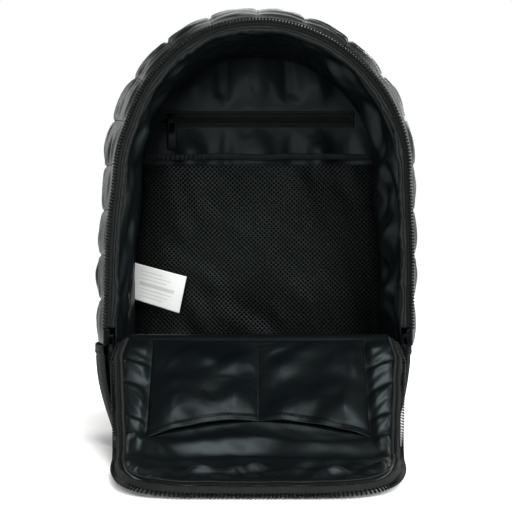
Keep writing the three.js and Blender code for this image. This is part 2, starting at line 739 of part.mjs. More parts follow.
const MAIN_SLIDER_Z = ARCH_CENTRE + QUARTER - BODY_ZIP_END - MAIN_SLIDER.high / 2 - SEWN_GAP;
for (const [name, side] of [['left', -1], ['right', 1]]) {
  const slider = add(`main_slider_${name}`, 'metal', mainSlider(side));
  const y = FRONT_Y - SEWN_GAP - MAIN_SLIDER.deep;
  slider.position.set(side * (sideHalf(MAIN_SLIDER_Z) - MAIN_SLIDER.inset), y, MAIN_SLIDER_Z);
}

// Haul loop and shoulder straps

function haulLoop() {
  const place = (u, v, thick) => {
    const angle = Math.PI * u;
    const half = LOOP.half - thick * 0.6;
    const x = -half * Math.cos(angle);
    const z = LOOP.foot + (LOOP.rise - thick) * Math.sin(angle) ** 0.7;
    return [x, LOOP.yFront + LOOP.wide * v, z];
  };
  return panel(14, 1, (u, v) => place(u, v, 0), (u, v) => place(u, v, LOOP.thick));
}

/** A band through the rows of a table, with a half width and a thickness at each row. */
function band(rows, side, across, steps, size, round) {
  const line = new THREE.CatmullRomCurve3(rows.map((r) => new THREE.Vector3(side * r.x, r.y, r.z)));
  const place = (u, v, facing) => {
    const at = line.getPoint(v);
    const aim = line.getTangent(v);
    const outward = new THREE.Vector3(0, -aim.z, aim.y).normalize();
    const { half, thick } = size(at.z);
    const edge = lerp(1, round, Math.abs(2 * u - 1) ** 3);
    const lift = (facing * thick * edge) / 2;
    return [at.x + lerp(-half, half, u), at.y + outward.y * lift, at.z + outward.z * lift];
  };
  return panel(across, steps, (u, v) => place(u, v, 1), (u, v) => place(u, v, -1));
}

function shoulderPad(side) {
  const size = (z) => ({
    half: column(STRAP_ROWS, 'z', 'half', z),
    thick: column(STRAP_ROWS, 'z', 'thick', z),
  });
  return band(STRAP_ROWS, side, 4, 20, size, 0.45);
}

function strapWeb(side) {
  return band(WEB_ROWS, side, 1, 12, () => WEB, 1);
}

function ladderLock() {
  const { wide, high, thick, slotWide, slotHigh, slotApart } = LADDER_LOCK;
  const shape = roundedRect(wide, high, 3);
  for (const z of [-slotApart / 2, slotApart / 2]) {
    const slot = roundedRect(slotWide, slotHigh, 1, new THREE.Path());
    shape.holes.push(new THREE.Path(slot.getPoints(2).map((p) => new THREE.Vector2(p.x, p.y + z))));
  }
  return plate(shape, thick);
}

add('haul_loop', 'tape', haulLoop());
for (const [name, side] of [['left', -1], ['right', 1]]) {
  const foot = STRAP_ROWS[STRAP_ROWS.length - 1];
  add(`shoulder_pad_${name}`, 'quilt', shoulderPad(side));
  add(`strap_web_${name}`, 'tape', strapWeb(side));
  const lock = add(`ladder_lock_${name}`, 'buckle', ladderLock());
  lock.position.set(side * (foot.x + 1), foot.y - 0.4, foot.z - LADDER_LOCK.high / 2 - 1.2);
}

export default group;
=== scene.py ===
"""Dresses a quilted sports backpack that stands open, with its front panel folded down.

Lengths are in metres in the model's own frame: +Z up, the opening towards -Y, the straps on the +Y side.
Cloth surfaces are grids of two parameters. Loose cloth is cut flat, set in place and settled by simulation.
"""

import math
from types import SimpleNamespace

import bpy
import numpy as np
from bpy.props import FloatProperty, FloatVectorProperty, PointerProperty
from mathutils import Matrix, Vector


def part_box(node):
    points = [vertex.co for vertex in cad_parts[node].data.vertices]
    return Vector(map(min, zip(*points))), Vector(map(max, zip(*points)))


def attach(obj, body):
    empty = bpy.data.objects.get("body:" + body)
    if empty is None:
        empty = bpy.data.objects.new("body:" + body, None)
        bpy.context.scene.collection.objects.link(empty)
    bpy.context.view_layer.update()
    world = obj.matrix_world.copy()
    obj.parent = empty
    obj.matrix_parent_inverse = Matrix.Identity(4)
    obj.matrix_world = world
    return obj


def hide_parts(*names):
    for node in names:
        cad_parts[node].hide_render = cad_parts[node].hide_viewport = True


bl_info = {
    "name": "Quilted sports backpack",
    "version": (1, 0, 0),
    "blender": (4, 5, 0),
    "location": "View3D > Sidebar > Backpack",
    "description": "Dresses an open backpack with quilted cloth, satin linings, zips, mesh and straps",
    "category": "Object",
}

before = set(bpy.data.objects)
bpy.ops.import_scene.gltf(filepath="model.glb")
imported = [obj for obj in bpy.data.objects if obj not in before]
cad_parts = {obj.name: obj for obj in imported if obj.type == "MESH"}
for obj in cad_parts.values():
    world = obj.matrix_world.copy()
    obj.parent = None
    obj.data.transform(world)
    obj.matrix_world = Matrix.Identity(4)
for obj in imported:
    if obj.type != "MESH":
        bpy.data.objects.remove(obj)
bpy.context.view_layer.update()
MM = 0.001
HAIR = 1e-6
SEWN_GAP = 0.3 * MM
FORWARD = (0.0, -1.0, 0.0)
SIDES = (("left", -1), ("right", 1))
BAG = "bag"
PULL = "pocket_pull"


def corners(node):
    """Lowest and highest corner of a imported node, as two arrays."""
    low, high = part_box(node)
    return np.array(low, float), np.array(high, float)


def metres(**sizes):
    """Sizes given in millimetres, each under its name, in metres."""
    return SimpleNamespace(**{name: value * MM for name, value in sizes.items()})


def table(names, *rows):
    """Rows of a table, each with its values under the names of the columns."""
    return [dict(zip(names.split(), row)) for row in rows]


def linear(code):
    """A colour written as sRGB hex, as linear red, green and blue."""
    parts = np.array([int(code[i : i + 2], 16) for i in (1, 3, 5)]) / 255
    return tuple(np.where(parts <= 0.04045, parts / 12.92, ((parts + 0.055) / 1.055) ** 2.4))


def size(name, description, mm):
    """A length that a user can change, with its default in millimetres."""
    return FloatProperty(name=name, description=description, default=mm * MM, unit="LENGTH", precision=4)


def share(name, description, value):
    """A plain share or ratio that a user can change."""
    return FloatProperty(name=name, description=description, default=value, subtype="FACTOR", soft_max=1.0)


def tint(name, description, code):
    """A colour that a user can change, with its default as sRGB hex."""
    return FloatVectorProperty(
        name=name, description=description, default=linear(code), size=3, subtype="COLOR", min=0, max=1
    )


# Sizes and colours that a user would change

WALL_LOW, WALL_HIGH = corners("quilted_side_wall")
LOWER_LOW, LOWER_HIGH = corners("lower_side_right")
MESH_LOW, MESH_HIGH = corners("mesh_pocket")
POCKET_ZIP_LOW, POCKET_ZIP_HIGH = corners("pocket_zip_tape")
LABEL_LOW, LABEL_HIGH = corners("care_label")
LINING_LOW, LINING_HIGH = corners("back_lining")
TEETH_TOP = corners("body_zip_teeth")[1][2]
ARCH_RADIUS_MM = 138
TEETH_HALF_MM = 1.6


class BodySizes(bpy.types.PropertyGroup):
    """The bag's outline."""

    arch_radius: size("Arch radius", "Zip line over the top", ARCH_RADIUS_MM)
    arch_centre: size(
        "Arch centre", "Height of the middle of that arc", TEETH_TOP / MM - ARCH_RADIUS_MM - TEETH_HALF_MM
    )
    flare: size("Flare", "Widening of each side below the arc", 8)
    flare_run: size("Flare run", "Height over which it widens", 105)
    lower_top: size("Lower top", "Top of the plain lower sides", (LOWER_HIGH[2] + SEWN_GAP) / MM)
    tuck: size("Tuck", "How far the lower sides draw in at the base", 23)
    front: size("Front", "Front edge of the side walls", WALL_LOW[1] / MM)
    back: size("Back", "Back edge of the side walls", WALL_HIGH[1] / MM)
    base_thick: size("Base", "Thickness of the base", 4)
    back_thick: size("Back pad", "Thickness of the padded back", 9.7)
    back_overlap: size("Back overlap", "How far the back covers the wall's edge", 4)


class QuiltSizes(bpy.types.PropertyGroup):
    """Padded channels across the side wall and the front panel."""

    pitch: size("Channel", "Distance from seam to seam", 43.1)
    crest_top: size("Crest at the top", "How far the puffs stand outside the zip line", 19.5)
    crest_left: size("Crest at the left", "The same at the left lower end", 11.5)
    crest_right: size("Crest at the right", "The same at the right lower end", 6.5)
    seam_depth: size("Seam depth", "How far the seams pull in", 3)
    edge: size("Edge", "Half the thickness at the sewn edges", 1.5)
    wadding: size("Wadding", "How far the padding reaches inside the zip line", 8)
    fullness: share("Fullness", "Power of the puff's section, lower is fuller", 0.4)
    gather: share("Gather", "Spare cloth across the wall, which wrinkles along the channels", 0.07)


class FlapSizes(bpy.types.PropertyGroup):
    """The front panel, by the distance along its lining side from the top of the fold."""

    fold_radius: size("Fold radius", "Lining side of the fold", 12)
    fold_height: size("Fold height", "Height of the fold's centre", 98)
    fold_y: size("Fold place", "Place of the fold's centre in depth", -78)
    slope: FloatProperty(
        name="Slope", description="Fall of the panel", default=math.radians(47), unit="ROTATION"
    )
    bend_radius: size("Bend radius", "Where the panel meets the ground", 70)
    length: size("Length", "From the fold's top to the end", 272)
    end_depth: size("End depth", "Length of the rounded end", 118)
    thick: size("Thickness", "Padding of the panel", 9)
    rim: size("Rim", "Thickness at the sewn rim", 3)
    rib_depth: size("Rib depth", "Depth of the quilting under the panel", 4.5)
    curl: size("Curl", "Rise of the long edges", 5)
    ground_gap: size("Ground gap", "Clearance under the panel", 0.4)


class LiningSizes(bpy.types.PropertyGroup):
    """Satin linings and the slip pocket."""

    inset: size("Inset", "Side lining inside the zip line", 13)
    cloth: size("Cloth", "Thickness of lining cloth", 0.7)
    side_slack: share("Side slack", "Spare cloth across the side lining", 0.03)
    back_slack: share("Back slack", "Spare cloth across the back lining", 0.02)
    flap_slack: share("Panel slack", "Spare cloth along the front panel's lining, near its end", 0.025)
    pocket_slack: share("Pocket slack", "Spare cloth in the slip pocket", 0.02)
    pocket_near: size("Pocket near", "Slip pocket's sewn edge, from the fold", 12)
    pocket_far: size("Pocket far", "Slip pocket's mouth in the middle", 105)
    pocket_far_side: size("Pocket far side", "Slip pocket's mouth at its sides", 126)
    pocket_half: size("Pocket half", "Half width of the slip pocket", 98)


class ZipSizes(bpy.types.PropertyGroup):
    """Zips, tapes and sliders."""

    pitch: size("Tooth pitch", "From tooth to tooth on one side of the main zip", 3.1)
    tooth_wide: size("Tooth", "Tooth across the zip", 2 * TEETH_HALF_MM)
    tooth_deep: size("Tooth depth", "Tooth from front to back", 2.6)
    body_end: size("Zip end", "From the top of the arch to the zip's lower ends", 371)
    tape_deep: size("Facing", "How far the facing goes into the bag", 4.6)
    rim_out: size("Rim tape", "Panel's tape beyond its edge", 7)
    rim_drop: size("Rim drop", "How far that tape falls", 7)
    coil_pitch: size("Coil pitch", "Turns of the pocket zip's coil", 1.4)


class PocketSizes(bpy.types.PropertyGroup):
    """Pockets and label on the back lining."""

    hole_pitch: size("Mesh pitch", "From hole to hole across the mesh", 4.8)
    hole_share: share("Mesh hole", "Hole's share of the pitch", 0.78)
    mesh_slack: size("Mesh slack", "How far the mesh stands off the lining", 7)
    binding_high: size("Binding", "Height of the mesh's binding", 6.2)
    binding_thick: size("Binding thickness", "Folded tape with the mesh in it", 2.4)
    pull_wide: size("Pull tab", "Width of the pocket's pull tab", 10)
    pull_long: size("Pull length", "Length of the pocket's pull tab", 34)


class Colours(bpy.types.PropertyGroup):
    """Colours of the finishes."""

    quilt: tint("Quilted nylon", "Outer cloth", "#0a0c0c")
    quilt_gloss: tint("Quilted gloss", "Tint of the outer cloth's highlights", "#e2f0ee")
    satin: tint("Satin lining", "Lining cloth", "#040607")
    satin_gloss: tint("Satin gloss", "Tint of the lining's highlights", "#dff1f3")
    plain: tint("Plain weave", "Lower sides, base and back", "#141617")
    tape: tint("Zip tape", "Tapes and webbing", "#0e100f")
    # Also used on the panel's rim binding, where its lightness is partly a painted highlight
    facing: tint("Facing", "Turned-in strip beside the main zip", "#151716")
    # Painted shade: a darker colour for the lining inside the mesh pocket, standing in for its shadow
    backing: tint("Backing", "Taffeta behind the mesh", "#030404")
    binding: tint("Binding", "Mesh pocket's binding", "#131514")
    teeth: tint("Zip teeth", "Moulded teeth", "#040505")
    metal: tint("Black nickel", "Sliders and pull tab", "#0e0f10")
    mesh: tint("Mesh", "Knitted mesh", "#070808")
    label: tint("Label", "White ribbon", "#cfd1cf")
    ink: tint("Ink", "Faint rules on the label", "#9a9b9c")
    thread: tint("Thread", "Sewing thread", "#060707")
    buckle: tint("Acetal", "Ladder locks", "#0f1011")
    floor: tint("Floor", "Pale floor and backdrop", "#fafaf9")


class BagSettings(bpy.types.PropertyGroup):
    """All the settings of the backpack."""

    body: PointerProperty(type=BodySizes)
    quilt: PointerProperty(type=QuiltSizes)
    flap: PointerProperty(type=FlapSizes)
    lining: PointerProperty(type=LiningSizes)
    zips: PointerProperty(type=ZipSizes)
    pockets: PointerProperty(type=PocketSizes)
    colours: PointerProperty(type=Colours)


# How far the wall's front edge lies outside a plain arch, by the distance along the zip line from its top
EDGE_DRIFT = table(
    "s out",
    (-400, 0), (-364, -1), (-321, -2.9), (-288, -1.9), (-258, -0.8), (-215, -2.9), (-196, -5),
    (-177, -7.2), (-152, -7), (-130, -5.5), (-105, -4.5), (-73, -2), (-40, 0), (100, 0), (130, 0.8),
    (172, 3), (216, 5.7), (250, 4.7), (288, 1.9), (321, 0),
)

# Half widths along the front panel: the padded panel, and the lining on it
PANEL_WIDTHS = table(
    "at panel lining",
    (-112.5, 123.8, 96), (-106, 126.5, 98), (-75, 137, 108), (-45, 143, 116), (-26, 144.6, 119),
    (-12, 130, 119), (0, 121, 117), (14, 124, 121), (34, 127, 124.5), (154, 115, 112.5),
)
END_SIDES = 1.5
END_FLATNESS = 8

# Middle line of a shoulder pad, with its half width and thickness
STRAP_ROWS = table(
    "z x y half thick",
    (384, 38, 78.5, 26, 4), (368, 41, 87, 29, 10), (330, 50, 103, 31, 11), (270, 63, 112, 31, 11),
    (210, 78, 109, 29, 11), (160, 89, 100, 24, 10), (132, 94, 95, 19, 7),
)
WEB_ROWS = table(
    "z x y",
    (126, 95, 90.4), (100, 98, 88.6), (66, 103, 83.5), (38, 106, 78), (20, 108, 77.3),
)

# Points each way on the grids. Those of the front panel have their rows before and after the fold.
GRIDS = {
    "wall_lining": (301, 46),
    "back_lining": (101, 131),
    "lower_side": (61, 49),
    "base": (61, 41),
    "back_pad": (101, 181),
    "front_panel": (60, 131, 81),
    "panel_lining": (40, 122, 141),
    "slip_pocket": (81, 129),
    "care_label": (49, 33),
}
STRIP_STEPS = 461
PROFILE_STEPS = 25


def wave(long, high, seed, lean=(0, math.pi), scale=(1, 1), count=9):
    """Waves of a cloth: about how long and high they are, the seed of their random leans, lengths and starts,
    the range of their lean, how much each direction counts, and how many are added up."""
    return SimpleNamespace(long=long * MM, high=high * MM, seed=seed, lean=lean, scale=scale, count=count)


WAVES = {
    "quilt_crease": wave(11, 0.8, 3, (1.25, 1.9), count=14),
    "quilt_wrinkle": wave(8.5, 0.6, 4, (1.25, 1.9), scale=(0.2, 1), count=16),
    "quilt_swell": wave(22, 0.5, 5, (0.9, 2.2), scale=(0.5, 1)),
    "wall_fold": wave(36, 2.6, 11, (0.7, 2.4), scale=(0.55, 1)),
    "wall_wrinkle": wave(15, 1.8, 12, (0.8, 2.3), scale=(0.5, 1)),
    "back_fold": wave(58, 1.9, 21, (-0.35, 0.35), scale=(1, 0.5)),
    "back_gather": wave(22, 0.24, 22, (-0.3, 0.3), scale=(1, 0.3), count=14),
    "sag_left": wave(60, 0.9, 30),
    "sag_right": wave(60, 0.9, 32),
    "back_pad": wave(26, 0.18, 41),
    "panel_crease": wave(16, 0.3, 51, (1.2, 1.9)),
    "panel_swell": wave(24, 0.6, 61, (-0.7, 0.7)),
    "panel_wander": wave(130, 4, 63, (-0.2, 0.2), scale=(1, 0)),
    "panel_crumple": wave(15, 1.5, 66, (-0.9, 0.9)),
    "strip_swell": wave(34, 0.6, 62, (-1, 0.6)),
    "strip_pucker": wave(10, 0.45, 64, (0.3, 0.9), count=14),
    "strip_wander": wave(60, 3, 65),
    "pocket_swell": wave(30, 0.55, 71),
    "facing_sway": wave(52, 0.7, 81, (-0.3, 0.3), scale=(1, 0)),
    "facing_pucker": wave(11, 0.25, 82, (-0.9, 0.9)),
    "rim_sway": wave(32, 0.4, 91, (-0.3, 0.3), scale=(1, 0)),
    "rim_pucker": wave(9, 0.12, 92),
    "pocket_lip": wave(30, 0.18, 101, (-0.3, 0.3)),
    "mesh_billow": wave(85, 1.8, 111, (-0.7, 0.9)),
    "mesh_ripple": wave(36, 0.55, 112, (0.2, 1.4)),
    "binding_wave": wave(70, 0.5, 121, (0, 0.2), scale=(1, 0)),
}

# How each loose cloth is settled: the pressure behind it, the frames, its stiffness against bending, and the
# limits in millimetres on its height over its base and on its drift along it
SETTLING = table(
    "name pressure frames bend low high drift",
    ("quilted_wall", 5.0, 18, 0.1, -2.5, 1.8, 2),
    ("wall_lining", 0.1, 16, 0.3, -3, 16, 6),
    ("back_lining", 0.1, 14, 0.8, -0.4, 7, 4),
    ("panel_lining", 0.1, 14, 0.5, -0.6, 20, 8),
    ("slip_pocket", 0.1, 14, 1.0, -1, 9, 6),
)


# Small numpy helpers


def table_column(rows, name):
    """One column of a table, in metres."""
    return np.array([row[name] for row in rows], float) * MM


def table_columns(rows, *names):
    """Columns of a table side by side, in metres."""
    return np.stack([table_column(rows, name) for name in names], axis=1)


def smooth(t):
    """Goes from 0 to 1 as t does, level at both ends: 3t squared less 2t cubed."""
    k = np.clip(t, 0, 1)
    return k * k * (3 - 2 * k)


def lerp(a, b, t):
    """The straight mix of a and b."""
    return a + (b - a) * t


def point(x, y, z):
    """Coordinates spread to one array with x, y and z last."""
    return np.stack(np.broadcast_arrays(x, y, z), axis=-1).astype(float)


def unit(v):
    """Vectors of length one."""
    return v / np.maximum(np.linalg.norm(v, axis=-1, keepdims=True), 1e-12)


def ripples(name, u, v):
    """Soft unevenness by a row of WAVES: a sum of sine waves of about one length, each with its own lean,
    length and start, divided by the root of their number."""
    row = WAVES[name]
    rng = np.random.default_rng(row.seed)
    u, v = u * row.scale[0], v * row.scale[1]
    total = 0.0
    for _ in range(row.count):
        angle = rng.uniform(*row.lean)
        length = row.long * rng.uniform(0.7, 1.5)
        start = rng.uniform(0, math.tau)
        total = total + np.sin(math.tau * (u * math.cos(angle) + v * math.sin(angle)) / length + start)
    return total / math.sqrt(row.count) * row.high


def ridges(rows, a, b):
    """Long soft swellings by a table's rows: each a bell curve across its line, flat-topped along it."""
    total = 0.0
    for row in rows:
        turn = math.radians(row["turn"])
        da, db = a - row["x"] * MM, b - row["s"] * MM
        along = da * math.cos(turn) + db * math.sin(turn)
        across = db * math.cos(turn) - da * math.sin(turn)
        away = (along / row["long"] / MM) ** 4 + (across / row["wide"] / MM) ** 2
        total = total + row["high"] * MM * np.exp(-away)
    return total


def distances(points):
    """Distance along a line of points from its first to each."""
    steps = np.linalg.norm(np.diff(points, axis=0), axis=-1)
    return np.concatenate(([0.0], np.cumsum(steps)))


def spaced(line, spacing, *others):
    """A line of points taken again at an even spacing, with other rows that go with it."""
    along = distances(line)
    at = np.linspace(0, along[-1], max(2, round(along[-1] / spacing) + 1))
    taken = []
    for rows in (line, *others):
        taken.append(np.stack([np.interp(at, along, column) for column in rows.T], axis=1))
    return taken if others else taken[0]


def through(points, count):
    """A smooth line through a few points: a Catmull-Rom curve, straight on past its ends."""
    ends = np.vstack((2 * points[0] - points[1], points, 2 * points[-1] - points[-2]))
    t = np.linspace(0, len(points) - 1, count)
    i = np.minimum(t.astype(int), len(points) - 2)
    f = (t - i)[:, None]
    a, b, c, d = ends[i], ends[i + 1], ends[i + 2], ends[i + 3]
    return 0.5 * (2 * b + (c - a) * f + (2 * a - 5 * b + 4 * c - d) * f**2 + (3 * b - a - 3 * c + d) * f**3)


def finer(grid, count):
    """A grid with more columns, on smooth lines through the points of each row."""
    rows, columns = grid.shape[:2]
    lines = grid.transpose(1, 0, 2).reshape(columns, -1)
    return through(lines, count).reshape(count, rows, 3).transpose(1, 0, 2)


def grid_normals(grid):
    """Normals of a grid: the cross product of its two directions at each point."""
    return unit(np.cross(np.gradient(grid, axis=0), np.gradient(grid, axis=1)))


def turned_to(grid, way):
    """A grid with its columns in the order that makes its normals point a given way."""
    return grid[:, ::-1] if (grid_normals(grid) * way).sum() < 0 else grid


def same_way(way, points):
    """One direction, repeated for each of many points."""
    return np.broadcast_to(np.array(way, float), points.shape)


# Building meshes


def grid_faces(rows, columns, around=False, along=False):
    """Quads of a grid of points, closed around its columns or along its rows if asked."""
    i = np.arange(rows if along else rows - 1)[:, None]
    j = np.arange(columns if around else columns - 1)[None, :]
    below, right = (i + 1) % rows, (j + 1) % columns
    corners_of = [i * columns + j, i * columns + right, below * columns + right, below * columns + j]
    return np.stack(np.broadcast_arrays(*corners_of), axis=-1).reshape(-1, 4)


def outward(points, faces):
    """Faces turned so that the closed body they bound has a positive volume."""
    a, b, c, d = (points[faces[:, k]] for k in range(4))
    volume = (a * np.cross(b, c)).sum() + (a * np.cross(c, d)).sum()
    return faces if volume > 0 else faces[:, ::-1]


def slab(face, back):
    """A closed panel between two grids of the same size: both grids, and a rim that joins their edges."""
    rows, columns = face.shape[:2]
    points = np.concatenate((face.reshape(-1, 3), back.reshape(-1, 3)))
    flat = grid_faces(rows, columns)
    number = np.arange(rows * columns).reshape(rows, columns)
    loop = np.concatenate((number[0, :-1], number[:-1, -1], number[-1, :0:-1], number[:0:-1, 0]))
    after = np.roll(loop, -1)
    half = rows * columns
    rim = np.stack((after, loop, loop + half, after + half), axis=1)
    faces = np.concatenate((flat, flat[:, ::-1] + half, rim))
    return points, outward(points, faces)


def loft(rings):
    """A closed bar through rings of an even number of points, with flat ends of quads."""
    count, around = rings.shape[:2]
    points = rings.reshape(-1, 3)
    sides = grid_faces(count, around, around=True)
    k = np.arange(around // 2 - 1)
    cap = np.stack((k, k + 1, around - 2 - k, around - 1 - k), axis=1)
    faces = np.concatenate((sides, cap[:, ::-1], cap + (count - 1) * around))
    return points, outward(points, faces)


def joined(bodies):
    """Several bodies, each points and faces, as one."""
    starts = np.cumsum([0] + [len(points) for points, _ in bodies[:-1]])
    faces = [faces + start for (_, faces), start in zip(bodies, starts)]
    return np.concatenate([points for points, _ in bodies]), np.concatenate(faces)


def copies(body, places, along, up):
    """Many copies of a small body, each with its X along one direction and its Z towards another."""
    points, faces = body
    x = unit(along)
    y = unit(np.cross(up, x))
    axes = np.stack((x, y, np.cross(x, y)), axis=1)
    placed = places[:, None, :] + np.einsum("pk,nkj->npj", points, axes)
    numbers = faces[None] + (np.arange(len(places)) * len(points))[:, None, None]
    return placed.reshape(-1, 3), numbers.reshape(-1, 4)


def add_piece(name, body, finish_name, replaces=(), rides=BAG, uv=None):
    """Makes an object of a body: points and quads. It rides on a bag's body and hides the imported parts it
    replaces.
    """
    points, faces = body
    mesh = bpy.data.meshes.new(name)
    mesh.vertices.add(len(points))
    mesh.vertices.foreach_set("co", np.ascontiguousarray(points, np.float32).ravel())
    mesh.loops.add(faces.size)
    mesh.loops.foreach_set("vertex_index", np.ascontiguousarray(faces, np.int32).ravel())
    mesh.polygons.add(len(faces))
    mesh.polygons.foreach_set("loop_start", np.arange(0, faces.size, 4, dtype=np.int32))
    mesh.polygons.foreach_set("use_smooth", np.ones(len(faces), bool))
    mesh.update(calc_edges=True)
    if uv is not None:
        layer = mesh.uv_layers.new(name="cloth")
        layer.uv.foreach_set("vector", np.ascontiguousarray(uv[faces.ravel()], np.float32).ravel())
    if mesh.validate():
        raise RuntimeError(f"{name} had faces that had to be mended")
    mesh.materials.append(finish(finish_name))
    made = bpy.data.objects.new(name, mesh)
    bpy.context.scene.collection.objects.link(made)
    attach(made, rides)
    if replaces:
        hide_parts(*replaces)
    return made


def cloth_uv(grid):
    """UV of a grid in metres: mean distance along its rows and columns, the same for face and back."""
    u = np.concatenate(([0.0], np.cumsum(np.linalg.norm(np.diff(grid, axis=0), axis=-1).mean(axis=1))))
    v = np.concatenate(([0.0], np.cumsum(np.linalg.norm(np.diff(grid, axis=1), axis=-1).mean(axis=0))))
    flat = np.stack(np.meshgrid(u, v, indexing="ij"), axis=-1).reshape(-1, 2)
    return np.concatenate((flat, flat))


def add_cloth(name, grid, thick, finish_name, replaces=()):
    """A sheet of cloth: a grid and a second one a thickness behind it, along its normals."""
    back = grid - thick * grid_normals(grid)
    return add_piece(name, slab(grid, back), finish_name, replaces, uv=cloth_uv(grid))


def add_padded(name, face, back, finish_name, replaces):
    """A padded piece between two grids."""
    made = add_piece(name, slab(face, back), finish_name, replaces, uv=cloth_uv(face))


# Cloth simulation

SIM_SCALE = 10
CLOTH_RULES = {
    "vertex_group_mass": "held",
    "quality": 5,
    "mass": 0.15,
    "air_damping": 2.0,
    "tension_stiffness": 40,
    "compression_stiffness": 40,
    "shear_stiffness": 10,
    "use_pressure": True,
}


def settle(start, cut, held, away, pressure, frames, bend):
    """Lets a sheet find its folds. It starts in place, has its edge lengths from its flat cut, is held where
    it is sewn, and is pushed off what it lies on by a little pressure. It is run ten times as large as life,
    because the solver is steadier at that size."""
    rows, columns = start.shape[:2]
    faces = grid_faces(rows, columns)
    if (grid_normals(start) * away).sum() > 0:
        faces = faces[:, ::-1]
    mesh = bpy.data.meshes.new("trial")
    mesh.from_pydata((start.reshape(-1, 3) * SIM_SCALE).tolist(), [], faces.tolist())
    trial = bpy.data.objects.new("trial", mesh)
    scene = bpy.context.scene
    scene.collection.objects.link(trial)
    trial.shape_key_add(name="sewn")
    flat = trial.shape_key_add(name="cut")
    flat.data.foreach_set("co", (cut.reshape(-1, 3) * SIM_SCALE).astype(np.float32).ravel())
    group = trial.vertex_groups.new(name="held")
    group.add(np.flatnonzero(held.ravel()).tolist(), 1.0, "REPLACE")
    cloth = trial.modifiers.new("cloth", "CLOTH")
    rules = cloth.settings
    for name, value in CLOTH_RULES.items():
        setattr(rules, name, value)
    rules.rest_shape_key = flat
    rules.bending_stiffness = bend
    rules.effector_weights.gravity = 0
    rules.uniform_pressure_force = pressure
    cloth.collision_settings.use_collision = False
    cloth.point_cache.frame_start = 1
    cloth.point_cache.frame_end = frames
    for step in range(1, frames + 1):
        scene.frame_set(step)
    shown = trial.evaluated_get(bpy.context.evaluated_depsgraph_get())
    found = np.empty(rows * columns * 3, np.float32)
    shown.data.vertices.foreach_get("co", found)
    bpy.data.objects.remove(trial)
    bpy.data.meshes.remove(mesh)
    scene.frame_set(1)
    return found.reshape(rows, columns, 3).astype(float) / SIM_SCALE


def kept_within(found, base, normal, low, high, most):
    """Keeps settled cloth in its space: its height over a base within limits, its drift along it small."""
    move = found - base
    height = (move * normal).sum(axis=-1, keepdims=True)
    drift = move - height * normal
    far = np.linalg.norm(drift, axis=-1, keepdims=True)
    drift = drift * np.minimum(1, most / np.maximum(far, 1e-9))
    return base + drift + normal * np.clip(height, low, high)


def settled(name, start, cut, held, base, normal, roof=None):
    """A sheet settled by its row of SETTLING, under its own roof if one is given."""
    row = next(row for row in SETTLING if row["name"] == name)
    found = settle(start, cut, held, normal, row["pressure"], row["frames"], row["bend"])
    high = row["high"] * MM if roof is None else roof
    return kept_within(found, base, normal, row["low"] * MM, high, row["drift"] * MM)


# The side wall, by the distance s along the zip line from the top, negative on the left


def quarter():
    """Distance along the zip line from the top to the arc's end."""
    return math.pi / 2 * bpy.context.scene.bag.body.arch_radius


def side_half(z):
    """Half width below the arc: it flares out from the arc, and tucks in towards the base."""
    body = bpy.context.scene.bag.body
    below = np.maximum(0, 1 - z / body.lower_top)
    flared = body.flare * smooth((body.arch_centre - z) / body.flare_run)
    return body.arch_radius + flared - body.tuck * below**2


def wall_point(s, y, out):
    """A point of the wall: s along the zip line, y in depth, and a distance outside the zip line. The line
    is an arc over the top, and runs down both sides from the arc's ends. Its front edge drifts off that line
    by a table, and the drift fades towards the middle of the wall's depth."""
    body = bpy.context.scene.bag.body
    s, y, out = np.broadcast_arrays(s, y, out)
    drift = np.interp(s, table_column(EDGE_DRIFT, "s"), table_column(EDGE_DRIFT, "out"))
    out = out + drift * smooth(y / body.front)
    angle = np.clip(s, -quarter(), quarter()) / body.arch_radius
    r = body.arch_radius + out
    over = point(r * np.sin(angle), y, body.arch_centre + r * np.cos(angle))
    z = body.arch_centre - (np.abs(s) - quarter())
    beside = point(np.sign(s) * (side_half(z) + out), y, z)
    return np.where((np.abs(s) <= quarter())[..., None], over, beside)


def bulge(depth):
    """Fullness of the wall across its depth: none at the sewn edges, whole in the middle."""
    return 1 - (2 * depth - 1) ** 4


def puff(s):
    """Fullness of a quilted channel: a sine's size to a power, so none at the seams."""
    quilt = bpy.context.scene.bag.quilt
    return np.abs(np.sin(math.pi * s / quilt.pitch)) ** quilt.fullness


# Puffs down each side, steps along each and across the wall, how evenly those lie, how much larger than a
# puff its cloth is cut, and the share of the depth over which wrinkles fade at the edges
PUFFS_PER_SIDE = 9
PUFF_STEPS = 16
WALL_STEPS = 58
WALL_EVENNESS = 0.7
PUFF_SPARE = 1.12
WRINKLE_FADE = 0.06


def quilted_out(s, depth):
    """How far the outer cloth stands outside the zip line: the crest, less the seams' depth."""
    quilt = bpy.context.scene.bag.quilt
    end = quilt.pitch * PUFFS_PER_SIDE
    side = np.where(s < 0, quilt.crest_left, quilt.crest_right)
    crest = lerp(quilt.crest_top, side, smooth(np.abs(s) / end))
    return quilt.edge + bulge(depth) * (crest - quilt.edge - quilt.seam_depth * (1 - puff(s)))


